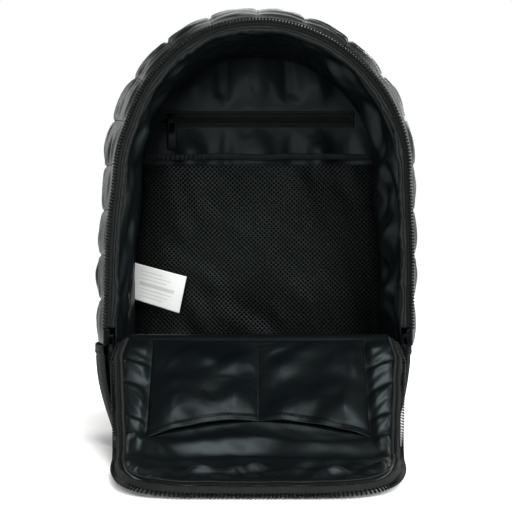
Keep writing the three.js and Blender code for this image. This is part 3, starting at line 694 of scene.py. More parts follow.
def make_quilted_wall():
    """The padded wall over the top and sides. Its outer cloth is held at seams and edges and blown out."""
    bag = bpy.context.scene.bag
    quilt, body = bag.quilt, bag.body
    end = quilt.pitch * PUFFS_PER_SIDE
    steps = 2 * PUFFS_PER_SIDE * PUFF_STEPS
    s = np.linspace(-end, end, steps + 1)[:, None]
    even = np.linspace(0, 1, WALL_STEPS + 1)[None, :]
    depth = lerp(0.5 - 0.5 * np.cos(np.pi * even), even, WALL_EVENNESS)
    y = lerp(body.front, body.back, depth)
    out = quilted_out(s, depth)
    seam = (np.arange(steps + 1) % PUFF_STEPS == 0)[:, None]
    edge = (depth <= 0) | (depth >= 1)
    crease = ripples("quilt_crease", s, y) * bulge(depth) * (1 - seam)
    base = wall_point(s, y, out)
    normal = unit(wall_point(s, y, out + MM) - base)
    start = base + normal * crease[..., None]
    middle = (body.front + body.back) / 2
    wider = middle + (y - middle) * (1 + quilt.gather)
    cut = wall_point(s, wider, quilt.edge + (out - quilt.edge) * PUFF_SPARE)
    held = np.broadcast_to(seam | edge, start.shape[:2])
    kept = settled("quilted_wall", start, cut, held, base, normal)
    outer = finer(np.where(held[..., None], start, kept), 2 * WALL_STEPS + 1)
    normal = unit(finer(normal, 2 * WALL_STEPS + 1))
    depth = through(depth.T, 2 * WALL_STEPS + 1).T
    y = lerp(body.front, body.back, depth)
    wrinkle = ripples("quilt_wrinkle", s, y) + ripples("quilt_swell", s, y)
    wrinkle = wrinkle * smooth(np.minimum(depth, 1 - depth) / WRINKLE_FADE) * puff(s)
    outer = outer + normal * wrinkle[..., None]
    inner = wall_point(s, y, -quilt.edge - bulge(depth) * (quilt.wadding - quilt.edge))
    add_padded("quilted_wall", outer, inner, "quilt", ["quilted_side_wall"])
    lines = [(outer[i], normal[i]) for i in range(PUFF_STEPS, steps, PUFF_STEPS)]
    sew("quilt_seams", lines)


# Stitching

STITCH = {"long": 2.7, "wide": 0.7, "pitch": 3.4, "proud": 0.12}


def stitch_body():
    """One stitch: a four-sided bar with drawn-in ends, lying along X."""
    along = np.array([-0.5, -0.36, 0.36, 0.5]) * STITCH["long"] * MM
    scale = np.array([0.35, 1, 1, 0.35]) * STITCH["wide"] / 2 * MM
    angle = math.tau * (np.arange(4) + 0.5) / 4
    rings = point(along[:, None], scale[:, None] * np.cos(angle), scale[:, None] * np.sin(angle))
    return loft(rings)


def sew(name, lines):
    """Rows of stitches along lines of points, each with the normals of the cloth it lies on."""
    bodies = []
    for line, normals in lines:
        places, up = spaced(line, STITCH["pitch"] * MM, normals)
        along = np.gradient(places, axis=0)
        bodies.append(copies(stitch_body(), places + up * STITCH["proud"] * MM, along, up))
    return add_piece(name, joined(bodies), "thread")


# Linings of the wall and the back

# Swellings of the wall's lining: the middle along the zip line (x) and in depth (s), the reach along and
# across, the turn in degrees, and the height
WALL_FOLDS = table(
    "x s long wide turn high",
    (-325, 0, 36, 10, -12, 6), (-285, -38, 40, 8, 14, 8), (-235, -54, 60, 6.5, 4, 8),
    (-205, -22, 36, 8, -18, 9), (-150, -40, 45, 8, 10, 10), (-95, -48, 30, 7, -10, 8),
    (110, -46, 34, 7, 9, 8), (180, -35, 40, 8, -14, 11), (225, -45, 24, 7, 32, 10),
    (258, -32, 26, 7, -34, 11), (290, -48, 22, 6.5, 34, 10), (318, -28, 24, 7, -30, 10),
    (345, -48, 20, 6.5, 24, 9),
)
WALL_DRAPE = metres(mouth=3.4, back_gap=1.5, slack=1.6, end_fade=12, change=60, roof_front=16, roof_back=4.5)
LEFT_ROOM = 0.72
# The last length is how far below the mesh's top the lining turns to the darker finish of painted shade
BACK_DRAPE = metres(inset=5, slack=1.4, zip_gap=2, fold_fade=26, gather_fade=5, sewn=30, rise=20, backing=6)


def make_wall_lining():
    """Satin inside the wall: a strip cut deeper than the wall, so it falls into folds along the zip line. The
    folds get lower towards the back, and have less room on the left."""
    bag = bpy.context.scene.bag
    body, lining, drape = bag.body, bag.lining, WALL_DRAPE
    rows, columns = GRIDS["wall_lining"]
    end = quarter() + body.arch_centre - 2 * body.base_thick
    s = np.linspace(-end, end, rows)[:, None]
    v = np.linspace(0, 1, columns)[None, :]
    y = lerp(body.front + bag.zips.tape_deep, body.back - drape.back_gap, v)
    inset = lerp(lining.inset - drape.mouth, lining.inset, smooth(4 * v))
    base = wall_point(s, y, -inset)
    inward = unit(wall_point(s, y, -inset - MM) - base)
    fade = smooth(v / 0.05) * smooth((1 - v) / 0.12) * smooth((end - np.abs(s)) / drape.end_fade)
    folds = drape.slack + ripples("wall_fold", s, y) + ripples("wall_wrinkle", s, y)
    folds = folds + ridges(WALL_FOLDS, s, y)
    room = lerp(LEFT_ROOM, 1, smooth((s + drape.change) / (2 * drape.change)))
    folds = folds * lerp(1.1, 0.5, v) * room
    start = base + inward * (fade * folds)[..., None]
    held = np.zeros(start.shape[:2], bool)
    held[:, [0, -1]] = True
    held[[0, -1]] = True
    cut = start * [1, 1 + lining.side_slack, 1]
    roof = lerp(drape.roof_front, drape.roof_back, v) * room
    grid = turned_to(settled("wall_lining", start, cut, held, base, inward, roof[..., None]), inward)
    made = add_cloth("wall_lining", grid, lining.cloth, "panel_satin", ["side_wall_lining"])
    point(s, y * (1 + lining.side_slack), 0 * s)


def arched_half(z, inset):
    """Half width of the bag's outline at a height, drawn in by an inset: the sides, then the arc."""
    body = bpy.context.scene.bag.body
    above = np.maximum(0, z - body.arch_centre)
    radius = body.arch_radius - inset
    arc = np.sqrt(np.maximum(radius**2 - above**2, (2 * MM) ** 2))
    return np.where(above > 0, arc, side_half(z) - inset)


def make_back_lining():
    """Satin on the back: an arched sheet cut wider than the back, sewn at its outline, along the pocket's zip
    and below the mesh's mouth. Its cells inside the mesh pocket take a darker, matte finish that is painted
    shade."""
    lining, drape = bpy.context.scene.bag.lining, BACK_DRAPE
    columns, rows = GRIDS["back_lining"]
    low, high = LINING_LOW[2], LINING_HIGH[2]
    z = lerp(low, high, np.sin(np.pi / 2 * np.linspace(0, 1, rows)) ** 0.9)[None, :]
    u = np.linspace(-1, 1, columns)[:, None]
    x = u * arched_half(z, drape.inset)
    base = point(x, LINING_LOW[1], z)
    forward = same_way(FORWARD, base)
    zip_half = (POCKET_ZIP_HIGH[2] - POCKET_ZIP_LOW[2]) / 2
    from_zip = np.abs(z - POCKET_ZIP_LOW[2] - zip_half) - zip_half - drape.zip_gap
    sewn_to = MESH_HIGH[2] - drape.sewn
    folds = (drape.slack + ripples("back_fold", x, z)) * smooth(from_zip / drape.fold_fade)
    folds = folds + ripples("back_gather", x, z) * smooth(from_zip / drape.gather_fade)
    folds = folds * (1 - u**6) * smooth((z - sewn_to) / drape.rise)
    start = base + forward * folds[..., None]
    held = (np.abs(u) >= 1) | (z <= low) | (z >= high - HAIR) | (z < sewn_to)
    held = held | ((from_zip < 0) & (np.abs(x) < POCKET_ZIP_HIGH[0]))
    cut = start * [1 + lining.back_slack, 1, 1]
    grid = settled("back_lining", start, cut, held, base, forward)
    if grid_normals(grid)[..., 1].sum() > 0:
        grid = grid[::-1]
    made = add_cloth("back_lining_cloth", grid, lining.cloth, "satin", ["back_lining"])
    made.data.materials.append(finish("backing"))
    middles = np.empty(len(made.data.polygons) * 3, np.float32)
    made.data.polygons.foreach_get("center", middles)
    # Cells inside the mesh pocket take the darker, matte finish: painted shade for the pocket's inside
    behind = middles[2::3] < MESH_HIGH[2] - drape.backing
    made.data.polygons.foreach_set("material_index", behind.astype(np.int32))
    point(x * (1 + lining.back_slack), 0 * x, z)


# Lower sides, base and back

LOWER_SIDES = table(
    "name side full lean",
    ("left", -1, 9, 2.5),
    ("right", 1, 4, -2.5),
)
LOWER_CLOTH = metres(thick=4, hem=9, hem_rise=0.7, groove=10, groove_deep=0.5, sag_fade=15, seam=7)
BASE_CLOTH = metres(front=1, side=5, turn_up=1.6)
BACK_PAD = metres(edge=16, foot=6, seam_wide=3.5, seam_deep=4, seam_from=14, seam_fade=12)
EDGE_FULLNESS = 0.55


def make_lower_sides():
    """Plain woven lower sides with a folded hem at the top, sagging a little between their sewn edges."""
    bag = bpy.context.scene.bag
    body, cloth = bag.body, LOWER_CLOTH
    rows, columns = GRIDS["lower_side"]
    high = LOWER_HIGH[2]
    z = np.linspace(LOWER_LOW[2], high, rows)[:, None]
    depth = np.linspace(0, 1, columns)[None, :]
    y = lerp(body.front, body.back, depth)
    groove = np.exp(-(((z - high + cloth.groove) / MM) ** 2))
    hem = cloth.hem_rise * smooth((z - high + cloth.hem) / MM) - cloth.groove_deep * groove
    for row in LOWER_SIDES:
        name, side = row["name"], row["side"]
        sag = ripples(f"sag_{name}", z, y) * np.sin(np.pi * depth) * smooth((high - z) / cloth.sag_fade)
        out = bag.quilt.edge + bulge(depth) * row["full"] * MM + hem + sag + row["lean"] * MM
        outer = point(side * (side_half(z) + out), y, z)
        inner = point(side * (side_half(z) + out - cloth.thick), y, z)
        add_padded(f"lower_cloth_{name}", outer, inner, "plain", [f"lower_side_{name}"])
        seam = outer[np.argmin(np.abs(z[:, 0] - (high - cloth.seam)))]
        sew(f"lower_hem_{name}", [(seam, same_way((side, 0, 0), seam))])


def make_base():
    """The base: a flat panel with its edges turned up into the sides."""
    body, cloth = bpy.context.scene.bag.body, BASE_CLOTH
    rows, columns = GRIDS["base"]
    u = np.linspace(-1, 1, rows)[:, None]
    depth = np.linspace(0, 1, columns)[None, :]
    half = side_half(body.base_thick) + bulge(depth) * cloth.side
    y = lerp(body.front - cloth.front, body.back + body.back_thick, depth)
    rim = np.maximum(np.abs(u), np.abs(2 * depth - 1)) ** 24
    top = point(u * half, y, body.base_thick)
    under = point(u * half, y, cloth.turn_up * rim)
    add_padded("base_cloth", top, under, "plain", ["base_panel"])


BACK_CHANNELS = [92, 158, 224, 290, 356]


def make_back_pad():
    """The padded back: full in the middle and thin at its sewn edge, with channels sewn across it."""
    body, pad = bpy.context.scene.bag.body, BACK_PAD
    columns, rows = GRIDS["back_pad"]
    low = body.base_thick + SEWN_GAP
    high = body.arch_centre + body.arch_radius + body.back_overlap
    z = lerp(low, high, np.sin(np.pi / 2 * np.linspace(0, 1, rows)))[None, :]
    u = np.linspace(-1, 1, columns)[:, None]
    half = arched_half(z, -body.back_overlap)
    x = u * half
    from_edge = np.minimum(half - np.abs(x), np.minimum(high - z, z - low + pad.foot))
    full = smooth(from_edge / pad.edge) ** 0.7
    seams = sum(np.exp(-(((z - c * MM) / pad.seam_wide) ** 2)) for c in BACK_CHANNELS)
    inside = smooth((from_edge - pad.seam_from) / pad.seam_fade)
    thick = body.back_thick * lerp(EDGE_FULLNESS, 1, full) - pad.seam_deep * seams * inside
    thick = thick + ripples("back_pad", x, z) * inside
    front = body.back + SEWN_GAP
    rear = point(x, front + thick, z)
    add_padded("back_pad", rear, point(x, front, z), "air_mesh", ["back_panel"])
    within = np.abs(u[:, 0]) < 0.9
    lines = [rear[within, np.argmin(np.abs(z[0] - c * MM))] for c in BACK_CHANNELS]
    sew("back_channels", [(line, same_way((0, 1, 0), line)) for line in lines])


# The front panel: its lining side runs up the front wall, over the fold, down and along the ground


def flap_path(s):
    """The lining side at a distance from the fold's top: its place and normal in y and z. It climbs the wall,
    turns over an arc, falls along a slope, turns level on a wider arc and lies flat."""
    flap = bpy.context.scene.bag.flap
    r, tilt = flap.fold_radius, flap.slope
    turn = np.clip(s / r, -math.pi / 2, tilt)
    y = flap.fold_y - r * np.sin(turn)
    z = flap.fold_height + r * np.cos(turn) + np.minimum(0, s + r * math.pi / 2)
    ground = flap.thick + flap.ground_gap
    start_z = flap.fold_height + r * math.cos(tilt)
    fall = (start_z - ground - flap.bend_radius * (1 - math.cos(tilt))) / math.sin(tilt)
    down = np.maximum(0, s - r * tilt)
    slope = np.minimum(down, fall)
    left = np.clip(tilt - (down - fall) / flap.bend_radius, 0, tilt)
    level = np.maximum(0, down - fall - tilt * flap.bend_radius)
    bent = flap.bend_radius * (math.sin(tilt) - np.sin(left))
    y = y - slope * math.cos(tilt) - bent - level
    z = z - slope * math.sin(tilt) - flap.bend_radius * (np.cos(left) - math.cos(tilt))
    lean = np.where(down > 0, left, turn)
    return y, z, -np.sin(lean), np.cos(lean)


def flap_half(s, piece, shorter=0.0):
    """Half width of the panel or its lining: a table's column, and a squared round end."""
    flap = bpy.context.scene.bag.flap
    half = np.interp(s, table_column(PANEL_WIDTHS, "at"), table_column(PANEL_WIDTHS, piece))
    t = np.clip((s - flap.length + flap.end_depth) / (flap.end_depth - shorter), 0, 1)
    return half * (1 - t**END_SIDES) ** (1 / END_FLATNESS)


def flap_point(x, s, over):
    """A point on the panel: x across, s along, and a height over its lining side; its long edges curl up."""
    flap = bpy.context.scene.bag.flap
    y, z, ny, nz = flap_path(s)
    edge = np.abs(x) / np.interp(s, table_column(PANEL_WIDTHS, "at"), table_column(PANEL_WIDTHS, "panel"))
    height = over + flap.curl * edge**3 * smooth(s / (40 * MM))
    return point(x, y + ny * height, z + nz * height)


def flap_foot():
    """Where the panel is sewn to the base, as a distance from the fold's top."""
    bag = bpy.context.scene.bag
    return bag.body.base_thick + SEWN_GAP - bag.flap.fold_height - bag.flap.fold_radius * math.pi / 2


PANEL_PAD = metres(fold=20, least_half=6, rim_fade=14, clear=0.2)


def make_front_panel():
    """The padded panel: flat on its lining side, quilted in channels on the outside, thin at its rim."""
    flap, pad = bpy.context.scene.bag.flap, PANEL_PAD
    near_rows, far_rows, columns = GRIDS["front_panel"]
    near = np.linspace(flap_foot(), pad.fold, near_rows)[:-1]
    far = lerp(pad.fold, flap.length - SEWN_GAP, np.sin(np.pi / 2 * np.linspace(0, 1, far_rows)))
    s = np.concatenate((near, far))[:, None]
    half = np.maximum(flap_half(s, "panel"), pad.least_half)
    x = np.linspace(-1, 1, columns)[None, :] * half
    from_edge = np.minimum(half - np.abs(x), flap.length - s)
    crease = ripples("panel_crease", s, x) * puff(s)
    ribbed = flap.thick - flap.rib_depth * (1 - puff(s)) - np.abs(crease)
    under = lerp(flap.rim, ribbed, smooth(from_edge / pad.rim_fade))
    outer = flap_point(x, s, -under)
    outer[..., 2] = np.maximum(outer[..., 2], pad.clear)
    add_padded("front_pad", outer, flap_point(x, s, 0 * x), "quilt", ["front_panel"])


# Swellings of the panel's lining and of its slip pockets: the middle across the panel and along it from the
# fold's top, the reach along and across, the turn in degrees, and the height
PANEL_FOLDS = table(
    "x s long wide turn high",
    (4, 146, 112, 15, 2, 14), (12, 176, 92, 6, 3, 4.5), (-92, 146, 24, 9, 55, 5),
    (14, 200, 98, 10, 2, 9), (-84, 229, 24, 6, -16, 6.5), (-36, 234, 22, 5, 14, 6.5),
    (-6, 226, 18, 5, -34, 7), (48, 233, 32, 6, -9, 7), (92, 226, 20, 5, 24, 6),
    (-100, 205, 26, 10, -30, 4),
)
POCKET_FOLDS = table(
    "x s long wide turn high",
    (-80, 88, 26, 22, -50, 6), (-30, 84, 34, 20, -25, 5.5), (-55, 30, 18, 13, 28, 3.6),
    (-36, 50, 34, 13, -36, 3), (74, 88, 32, 20, 38, 6.5), (89, 50, 44, 8, 88, 3.5),
    (27, 92, 20, 16, 12, 2.4),
)
PANEL_DRAPE = metres(end=264, end_fade=7, lift=0.9, sewn=4, pocket_sewn=90)
END_FOLDS = metres(start=100, rise=25, crumple=205, crumple_rise=15)
SIDE_STRIP = metres(edge=7, start=8, rise=20, end=175, fall=30, swell=1.5, lap=30, lap_high=5)
LAP_LEAN = 0.45
LAP_RISE = 0.22
POCKET_DRAPE = metres(seat=1.6, lift=2.2, hem=7, hem_thick=0.45, seam=5.5)


def lining_base():
    """Grid of the panel's lining: s along it in rows, u from -1 to 1 and x in metres across it."""
    flap, pad, end = bpy.context.scene.bag.flap, PANEL_PAD, PANEL_DRAPE.end
    near_rows, far_rows, columns = GRIDS["panel_lining"]
    near = np.linspace(flap_foot(), 0, near_rows)[:-1]
    s = np.concatenate((near, np.linspace(0, end, far_rows)))[:, None]
    u = np.linspace(-1, 1, columns)[None, :]
    inside = smooth((s + pad.fold) / pad.fold)
    half = lerp(flap_half(s, "lining"), flap_half(s, "panel", flap.length - end), inside)
    return s, u, u * np.maximum(half, pad.least_half)


def make_front_lining():
    """Satin on the panel: folds across it near its end, and laps along the strips beside the pockets. A lap
    rises fast and falls off slowly, over and over along the strip."""
    lining, drape, ends, strip = bpy.context.scene.bag.lining, PANEL_DRAPE, END_FOLDS, SIDE_STRIP
    s, u, x = lining_base()
    folds = ridges(PANEL_FOLDS, x, s + ripples("panel_wander", x, s)) + ripples("panel_swell", s, x)
    folds = folds + ripples("panel_crumple", s, x) * smooth((s - ends.crumple) / ends.crumple_rise)
    folds = folds * smooth((s - ends.start) / ends.rise)
    beside = np.abs(x) - lining.pocket_half
    half = np.maximum(x[:, -1:], lining.pocket_half + MM)
    across = np.clip(beside / (half - lining.pocket_half), 0, 1)
    lap = (s + LAP_LEAN * np.abs(x) + ripples("strip_wander", s, x)) / strip.lap
    part = lap - np.floor(lap)
    laps = strip.lap_high * smooth(part / LAP_RISE) * (1 - part)
    pucker = ripples("strip_pucker", s, np.abs(x)) + ripples("strip_swell", s, x)
    strips = strip.swell * np.sin(np.pi * across) + pucker + laps
    strips = strips * smooth(beside / strip.edge) * smooth((s - strip.start) / strip.rise)
    strips = strips * smooth((strip.end - s) / strip.fall)
    sewn = smooth((drape.end - s) / drape.end_fade) * smooth((1 - np.abs(u)) / 0.04)
    base = flap_point(x, s, drape.lift)
    normal = unit(flap_point(x, s, drape.lift + MM) - base)
    start = base + normal * (np.maximum(folds + strips, 0) * sewn)[..., None]
    held = (np.abs(u) >= 1) | (s <= drape.sewn) | (s >= drape.end - HAIR)
    held = held | ((s < drape.pocket_sewn) & (beside < 0))
    cut = start * [1 + 0.5 * lining.flap_slack, 1 + lining.flap_slack, 1 + lining.flap_slack]
    grid = settled("panel_lining", start, cut, held, base, normal)
    grid = turned_to(np.where(held[..., None], base, grid), normal)
    made = add_cloth("panel_lining", grid, lining.cloth, "panel_satin", ["front_panel_lining"])
    long = (s - s[0, 0]) * (1 + lining.flap_slack)
    point(x * (1 + 0.5 * lining.flap_slack), long, 0 * x)


def make_slip_pocket():
    """Two slip pockets in one piece of satin: sewn at the fold, at both sides and down the middle, with a
    hemmed mouth that dips towards the middle."""
    lining, drape = bpy.context.scene.bag.lining, POCKET_DRAPE
    rows, columns = GRIDS["slip_pocket"]
    u = np.linspace(-1, 1, columns)[None, :]
    v = np.linspace(0, 1, rows)[:, None]
    mouth = lerp(lining.pocket_far, lining.pocket_far_side, u**2)
    s = lerp(lining.pocket_near, mouth, v)
    x = u * lining.pocket_half + 0 * s
    seam = np.minimum(1, 1.6 * np.abs(np.sin(np.pi * u))) ** 0.7
    lift = drape.seat + drape.lift * smooth(3 * v) * seam
    base = flap_point(x, s, lift)
    normal = unit(flap_point(x, s, lift + MM) - base)
    folds = ridges(POCKET_FOLDS, x, s) + ripples("pocket_swell", x, s)
    start = base + normal * (folds * seam * smooth(6 * v))[..., None]
    held = (np.abs(u) >= 1) | (np.abs(u) < HAIR) | (v <= 0)
    cut = start * (1 + lining.pocket_slack)
    grid = settled("slip_pocket", start, cut, held, base, normal)
    grid = grid + normal * (drape.hem_thick * smooth((s - mouth + drape.hem) / MM))[..., None]
    if (grid_normals(grid) * normal).sum() < 0:
        grid, normal = grid[:, ::-1], normal[:, ::-1]
    made = add_cloth("slip_pocket", grid, lining.cloth, "satin", ["flap_slip_pocket"])
    point(x * (1 + lining.pocket_slack), s, 0 * x)
    hem_row = np.argmin(np.abs(s[:, 0] - mouth[0, 0] + drape.seam))
    middle = columns // 2
    lines = [(grid[2:, k], normal[2:, k]) for k in (2, middle - 1, middle + 1, columns - 3)]
    lines += [(grid[k], normal[k]) for k in (hem_row, 1)]
    sew("pocket_seams", lines)


# Main zip: tape and teeth on the body's edge, and on the panel's rim

BODY_TAPE = table(
    "deep out",
    (0, 0.3), (0, -3.0), (0.6, -4.0), (1.8, -5.0), (3.0, -5.4),
)
BODY_FACING = table(
    "deep out",
    (2.6, -4.2), (1.1, -4.6), (0.2, -5.6), (0.3, -6.6), (1.3, -7.0), (0.3, -7.5), (0.2, -8.6),
    (1.2, -9.7), (3.0, -10.2), (5.4, -10.3),
)
RIM_BINDING = table(
    "out over",
    (-2.0, 0.6), (-1.8, 2.4), (-1.0, 3.2), (0.2, 3.3), (0.7, 2.9), (0.5, 2.5), (-0.4, 2.2), (-0.8, 1.2),
    (-0.8, 0.0),
)
RIM_TAPE = table(
    "out over",
    (-0.7, -0.6), (1.0, -0.4), (2.0, 0.0), (2.6, 0.4), (3.4, 0.2), (4.4, -0.8), (5.4, -2.3),
    (6.2, -3.8), (6.9, -5.0),
)
STRIP_THICK = 0.8 * MM
FACING_FROM = 4 * MM
FACING_SWAY = 1.5
FACING_SEAM = 10
RIM_START = 10 * MM
RIM_SPACING = 1.9 * MM
RIM_SEAM = 12
TOOTH_SHARE = 0.6
BODY_TEETH = metres(longer=1.6, gap=1.2)
RIM_TEETH = metres(longer=1.8, deep=2.2, beyond=0.9, up=1.2)


def tooth_body(along, across, deep):
    """One moulded tooth: a rounded section of eight sides, its root drawn in and its head full, along X."""
    station = np.array([-0.5, -0.38, 0.0, 0.2, 0.42, 0.5]) * across
    scale = np.array([0.55, 0.8, 0.72, 1.0, 1.0, 0.6])
    angle = math.tau * np.arange(8) / 8
    wide = along / 2 * np.cos(angle)
    high = deep / 2 * np.sin(angle)
    return loft(point(station[:, None], scale[:, None] * wide, scale[:, None] * high))


def body_strip(name, rows, sway, finish_name, replaces=()):
    """A strip along the wall's front edge: a profile through a table's rows, swaying and puckered inside."""
    bag = bpy.context.scene.bag
    end = bag.zips.body_end
    s = np.linspace(-end, end, STRIP_STEPS)[:, None]
    deep, out = through(table_columns(rows, "deep", "out"), PROFILE_STEPS).T[:, None]
    y = bag.body.front - SEWN_GAP + deep
    uneven = sway * (ripples("facing_sway", s, deep) + ripples("facing_pucker", s, out))
    out = out - uneven * smooth((-FACING_FROM - out) / FACING_FROM)
    inward = unit(wall_point(s, y, out - MM) - wall_point(s, y, out))
    grid = turned_to(wall_point(s, y - 0.6 * uneven, out), inward)
    add_cloth(name, grid, STRIP_THICK, finish_name, replaces)
    return grid


def make_body_zip():
    """The main zip's half on the body: its tape, a facing that turns in beside it, and a row of teeth."""
    bag = bpy.context.scene.bag
    zips = bag.zips
    body_strip("body_tape", BODY_TAPE, 0.0, "tape", ["body_zip_tape"])
    facing = body_strip("body_facing", BODY_FACING, FACING_SWAY, "facing")
    tooth = tooth_body(TOOTH_SHARE * zips.pitch, zips.tooth_wide + BODY_TEETH.longer, zips.tooth_deep)
    at = np.linspace(-zips.body_end, zips.body_end, round(2 * zips.body_end / zips.pitch))
    y = bag.body.front - SEWN_GAP - BODY_TEETH.gap - zips.tooth_deep / 2
    places = wall_point(at, y, 0.0)
    across = wall_point(at, y, MM) - places
    teeth = copies(tooth, places, across, same_way(FORWARD, places))
    add_piece("body_teeth", teeth, "teeth", ["body_zip_teeth"])
    order = 1 if facing[0, 0, 1] < facing[0, -1, 1] else -1
    row = facing[:, ::order][:, FACING_SEAM]
    sew("body_tape_seams", [(row, same_way(FORWARD, row))])


def rim_line(spacing):
    """The panel's rim from its left fold corner round the end to the right, evenly spaced: x, s and the
    outward direction in both. The sides follow the table and the end is a superellipse."""
    flap = bpy.context.scene.bag.flap
    start = flap.length - flap.end_depth
    side_s = np.linspace(RIM_START, start, 120)[:-1]
    angle = np.linspace(0, np.pi / 2, 1600)
    half = np.interp(start, table_column(PANEL_WIDTHS, "at"), table_column(PANEL_WIDTHS, "panel"))
    end_x = half * np.cos(angle).clip(0) ** (2 / END_FLATNESS)
    end_s = start + flap.end_depth * np.sin(angle) ** (2 / END_SIDES)
    x = np.concatenate((flap_half(side_s, "panel"), end_x))
    s = np.concatenate((side_s, end_s))
    line = np.stack((np.concatenate((-x, x[-2::-1])), np.concatenate((s, s[-2::-1]))), axis=1)
    line = spaced(line, spacing)
    along = unit(np.gradient(line, axis=0))
    return line[:, 0], line[:, 1], -along[:, 1], along[:, 0]


def rim_point(line, out, over):
    """A point beside the rim: a distance outside it, and a height over the panel."""
    x, s, out_x, out_s = (part[:, None] for part in line)
    return flap_point(x + out_x * out, s + out_s * out, over + 0 * x)


def rim_strip(name, rows, finish_name, replaces=()):
    """A strip along the panel's rim: a profile through a table's rows, a little uneven along its length."""
    line = rim_line(RIM_SPACING)
    out, over = through(table_columns(rows, "out", "over"), PROFILE_STEPS).T[:, None]
    along = np.arange(len(line[0]))[:, None] * RIM_SPACING
    uneven = ripples("rim_sway", along, out) + ripples("rim_pucker", along, out)
    grid = turned_to(rim_point(line, out + 0.5 * uneven, over + uneven), (0, 0, 1))
    add_cloth(name, grid, STRIP_THICK, finish_name, replaces)
    return grid


def make_rim_zip():
    """The main zip's half on the panel: a binding on its rim, the zip's tape, and teeth below it."""
    zips = bpy.context.scene.bag.zips
    # The binding takes the lighter facing finish: partly its own colour, partly a painted highlight for the
    # light catching the rim's top edge
    rim_strip("rim_binding", RIM_BINDING, "facing")
    tape = rim_strip("rim_tape", RIM_TAPE, "tape", ["flap_zip_tape"])
    tooth = tooth_body(TOOTH_SHARE * zips.pitch, zips.tooth_wide + RIM_TEETH.longer, RIM_TEETH.deep)
    line = rim_line(zips.pitch)
    out, over = zips.rim_out + RIM_TEETH.beyond, RIM_TEETH.up - zips.rim_drop
    places = rim_point(line, out, over)[:, 0]
    across = rim_point(line, out + 0.8 * MM, over - 0.6 * MM)[:, 0] - places
    up = rim_point(line, out + 0.6 * MM, over + 0.8 * MM)[:, 0] - places
    teeth = copies(tooth, places, across, up)
    add_piece("rim_teeth", teeth, "teeth", ["flap_zip_teeth"])
    order = 1 if abs(tape[0, 0, 0]) < abs(tape[0, -1, 0]) else -1
    normals = grid_normals(tape)
    sew("rim_tape_seams", [(tape[:, ::order][:, RIM_SEAM], normals[:, ::order][:, RIM_SEAM])])


# Sliders, pull tab and buckles

SLIDERS = {
    "main": metres(wide=6.4, deep=4.2, high=15.6, corner=1.2, arch_out=1.4, arch_half=5, wire=0.8),
    "pocket": metres(wide=8.8, deep=3.8, high=10.8, corner=1.1, arch_out=4.2, arch_half=2.6, wire=0.58),
}
SLIDER_TAPER = {"main": 0.8, "pocket": 0.86}
SLIDER_SEAT = metres(from_side=3.25, below_top=8, face=2.4, arch=1.2, tab_in=4.25, tab_front=0.2, tab_down=10)
POCKET_SEAT = metres(arch=4, face=2)
MAIN_TAB = metres(corner=2, eye_wide=2.4, eye_high=6, eye_corner=1, thick=1.8, bevel=0.4)
MAIN_TAB_SIZE = metres(wide=5.6, high=25, eye_up=6)
PULL_TAB = metres(corner=2, eye_wide=4.2, eye_high=4.6, eye_corner=0.6, thick=2, bevel=0.45)
PULL_EYE_DOWN = 3.8 * MM


def rounded_loop(wide, high, radius, count=48):
    """A rounded rectangle as a closed loop of points in x and z, centred, starting at the right: a smaller
    rectangle's outline, moved outwards by the radius."""
    angle = math.tau * np.arange(count) / count
    circle = np.stack((np.cos(angle), np.sin(angle)), axis=1)
    square = np.clip(circle * math.sqrt(2), -1, 1)
    return square * np.array([wide / 2 - radius, high / 2 - radius]) + radius * unit(circle)


def ring_plate(inner, outer, thick, bevel):
    """A plate with a hole: loops run from the hole over the face to the rim and back, edges bevelled."""
    span = outer - inner
    reach = np.linalg.norm(span, axis=1, keepdims=True)
    inset = np.minimum(bevel / reach, 0.4)
    stations = [(0, -1), (1, -1), (1, 1), (0, 1)]
    rings = []
    for far, side in stations:
        edge = far + 0 * inset
        face = inset if far == 0 else 1 - inset
        for place in (face, edge) if (far == 1) == (side == -1) else (edge, face):
            flat = inner + span * place
            level = thick / 2 if place is face else thick / 2 - bevel
            rings.append(point(flat[:, 0], side * level, flat[:, 1]))
    rings = np.stack(rings)
    points = rings.reshape(-1, 3)
    return points, outward(points, grid_faces(*rings.shape[:2], around=True, along=True))


def rounded_bar(wide, deep, high, radius, taper=1.0):
    """A block with rounded edges, standing along Z: rounded rings that draw in at both ends."""
    t = np.array([0, 0.3, 0.65, 1.0])
    draw = radius * (1 - np.sqrt(1 - (1 - t) ** 2))
    z = np.concatenate((-high / 2 + radius * t, high / 2 - radius * t[::-1]))
    inset = np.concatenate((draw, draw[::-1]))
    narrow = np.linspace(1, taper, len(z))
    rings = []
    for height, less, share_of in zip(z, inset, narrow):
        loop = rounded_loop(wide * share_of - 2 * less, deep - 2 * less, max(radius - less, 0.2 * MM), 24)
        rings.append(point(loop[:, 0], loop[:, 1], height))
    return loft(np.stack(rings))


def wire(line, radius, around=8):
    """A round wire along a line of points in the plane of y and z."""
    along = unit(np.gradient(line, axis=0))
    side = np.broadcast_to([1.0, 0.0, 0.0], along.shape)
    up = np.cross(along, side)
    angle = math.tau * np.arange(around) / around
    ring = side[:, None] * np.cos(angle)[None, :, None] + up[:, None] * np.sin(angle)[None, :, None]
    return loft(line[:, None] + radius * ring)


def moved(body, place):
    """A body set at a place."""
    return body[0] + np.asarray(place), body[1]


def bail_line(reach, half):
    """The line of a slider's wire arch: out from the face, along it and back, with rounded corners."""
    angle = np.linspace(0, math.pi, 25)
    corner = 0.45
    y = -reach * np.abs(np.sin(angle)) ** corner
    z = -half * np.sign(np.cos(angle)) * np.abs(np.cos(angle)) ** corner
    ends = np.array([[0, 1.2 * MM, -half], [0, 1.2 * MM, half]])
    return np.vstack((ends[:1], point(0 * y, y, z), ends[1:]))


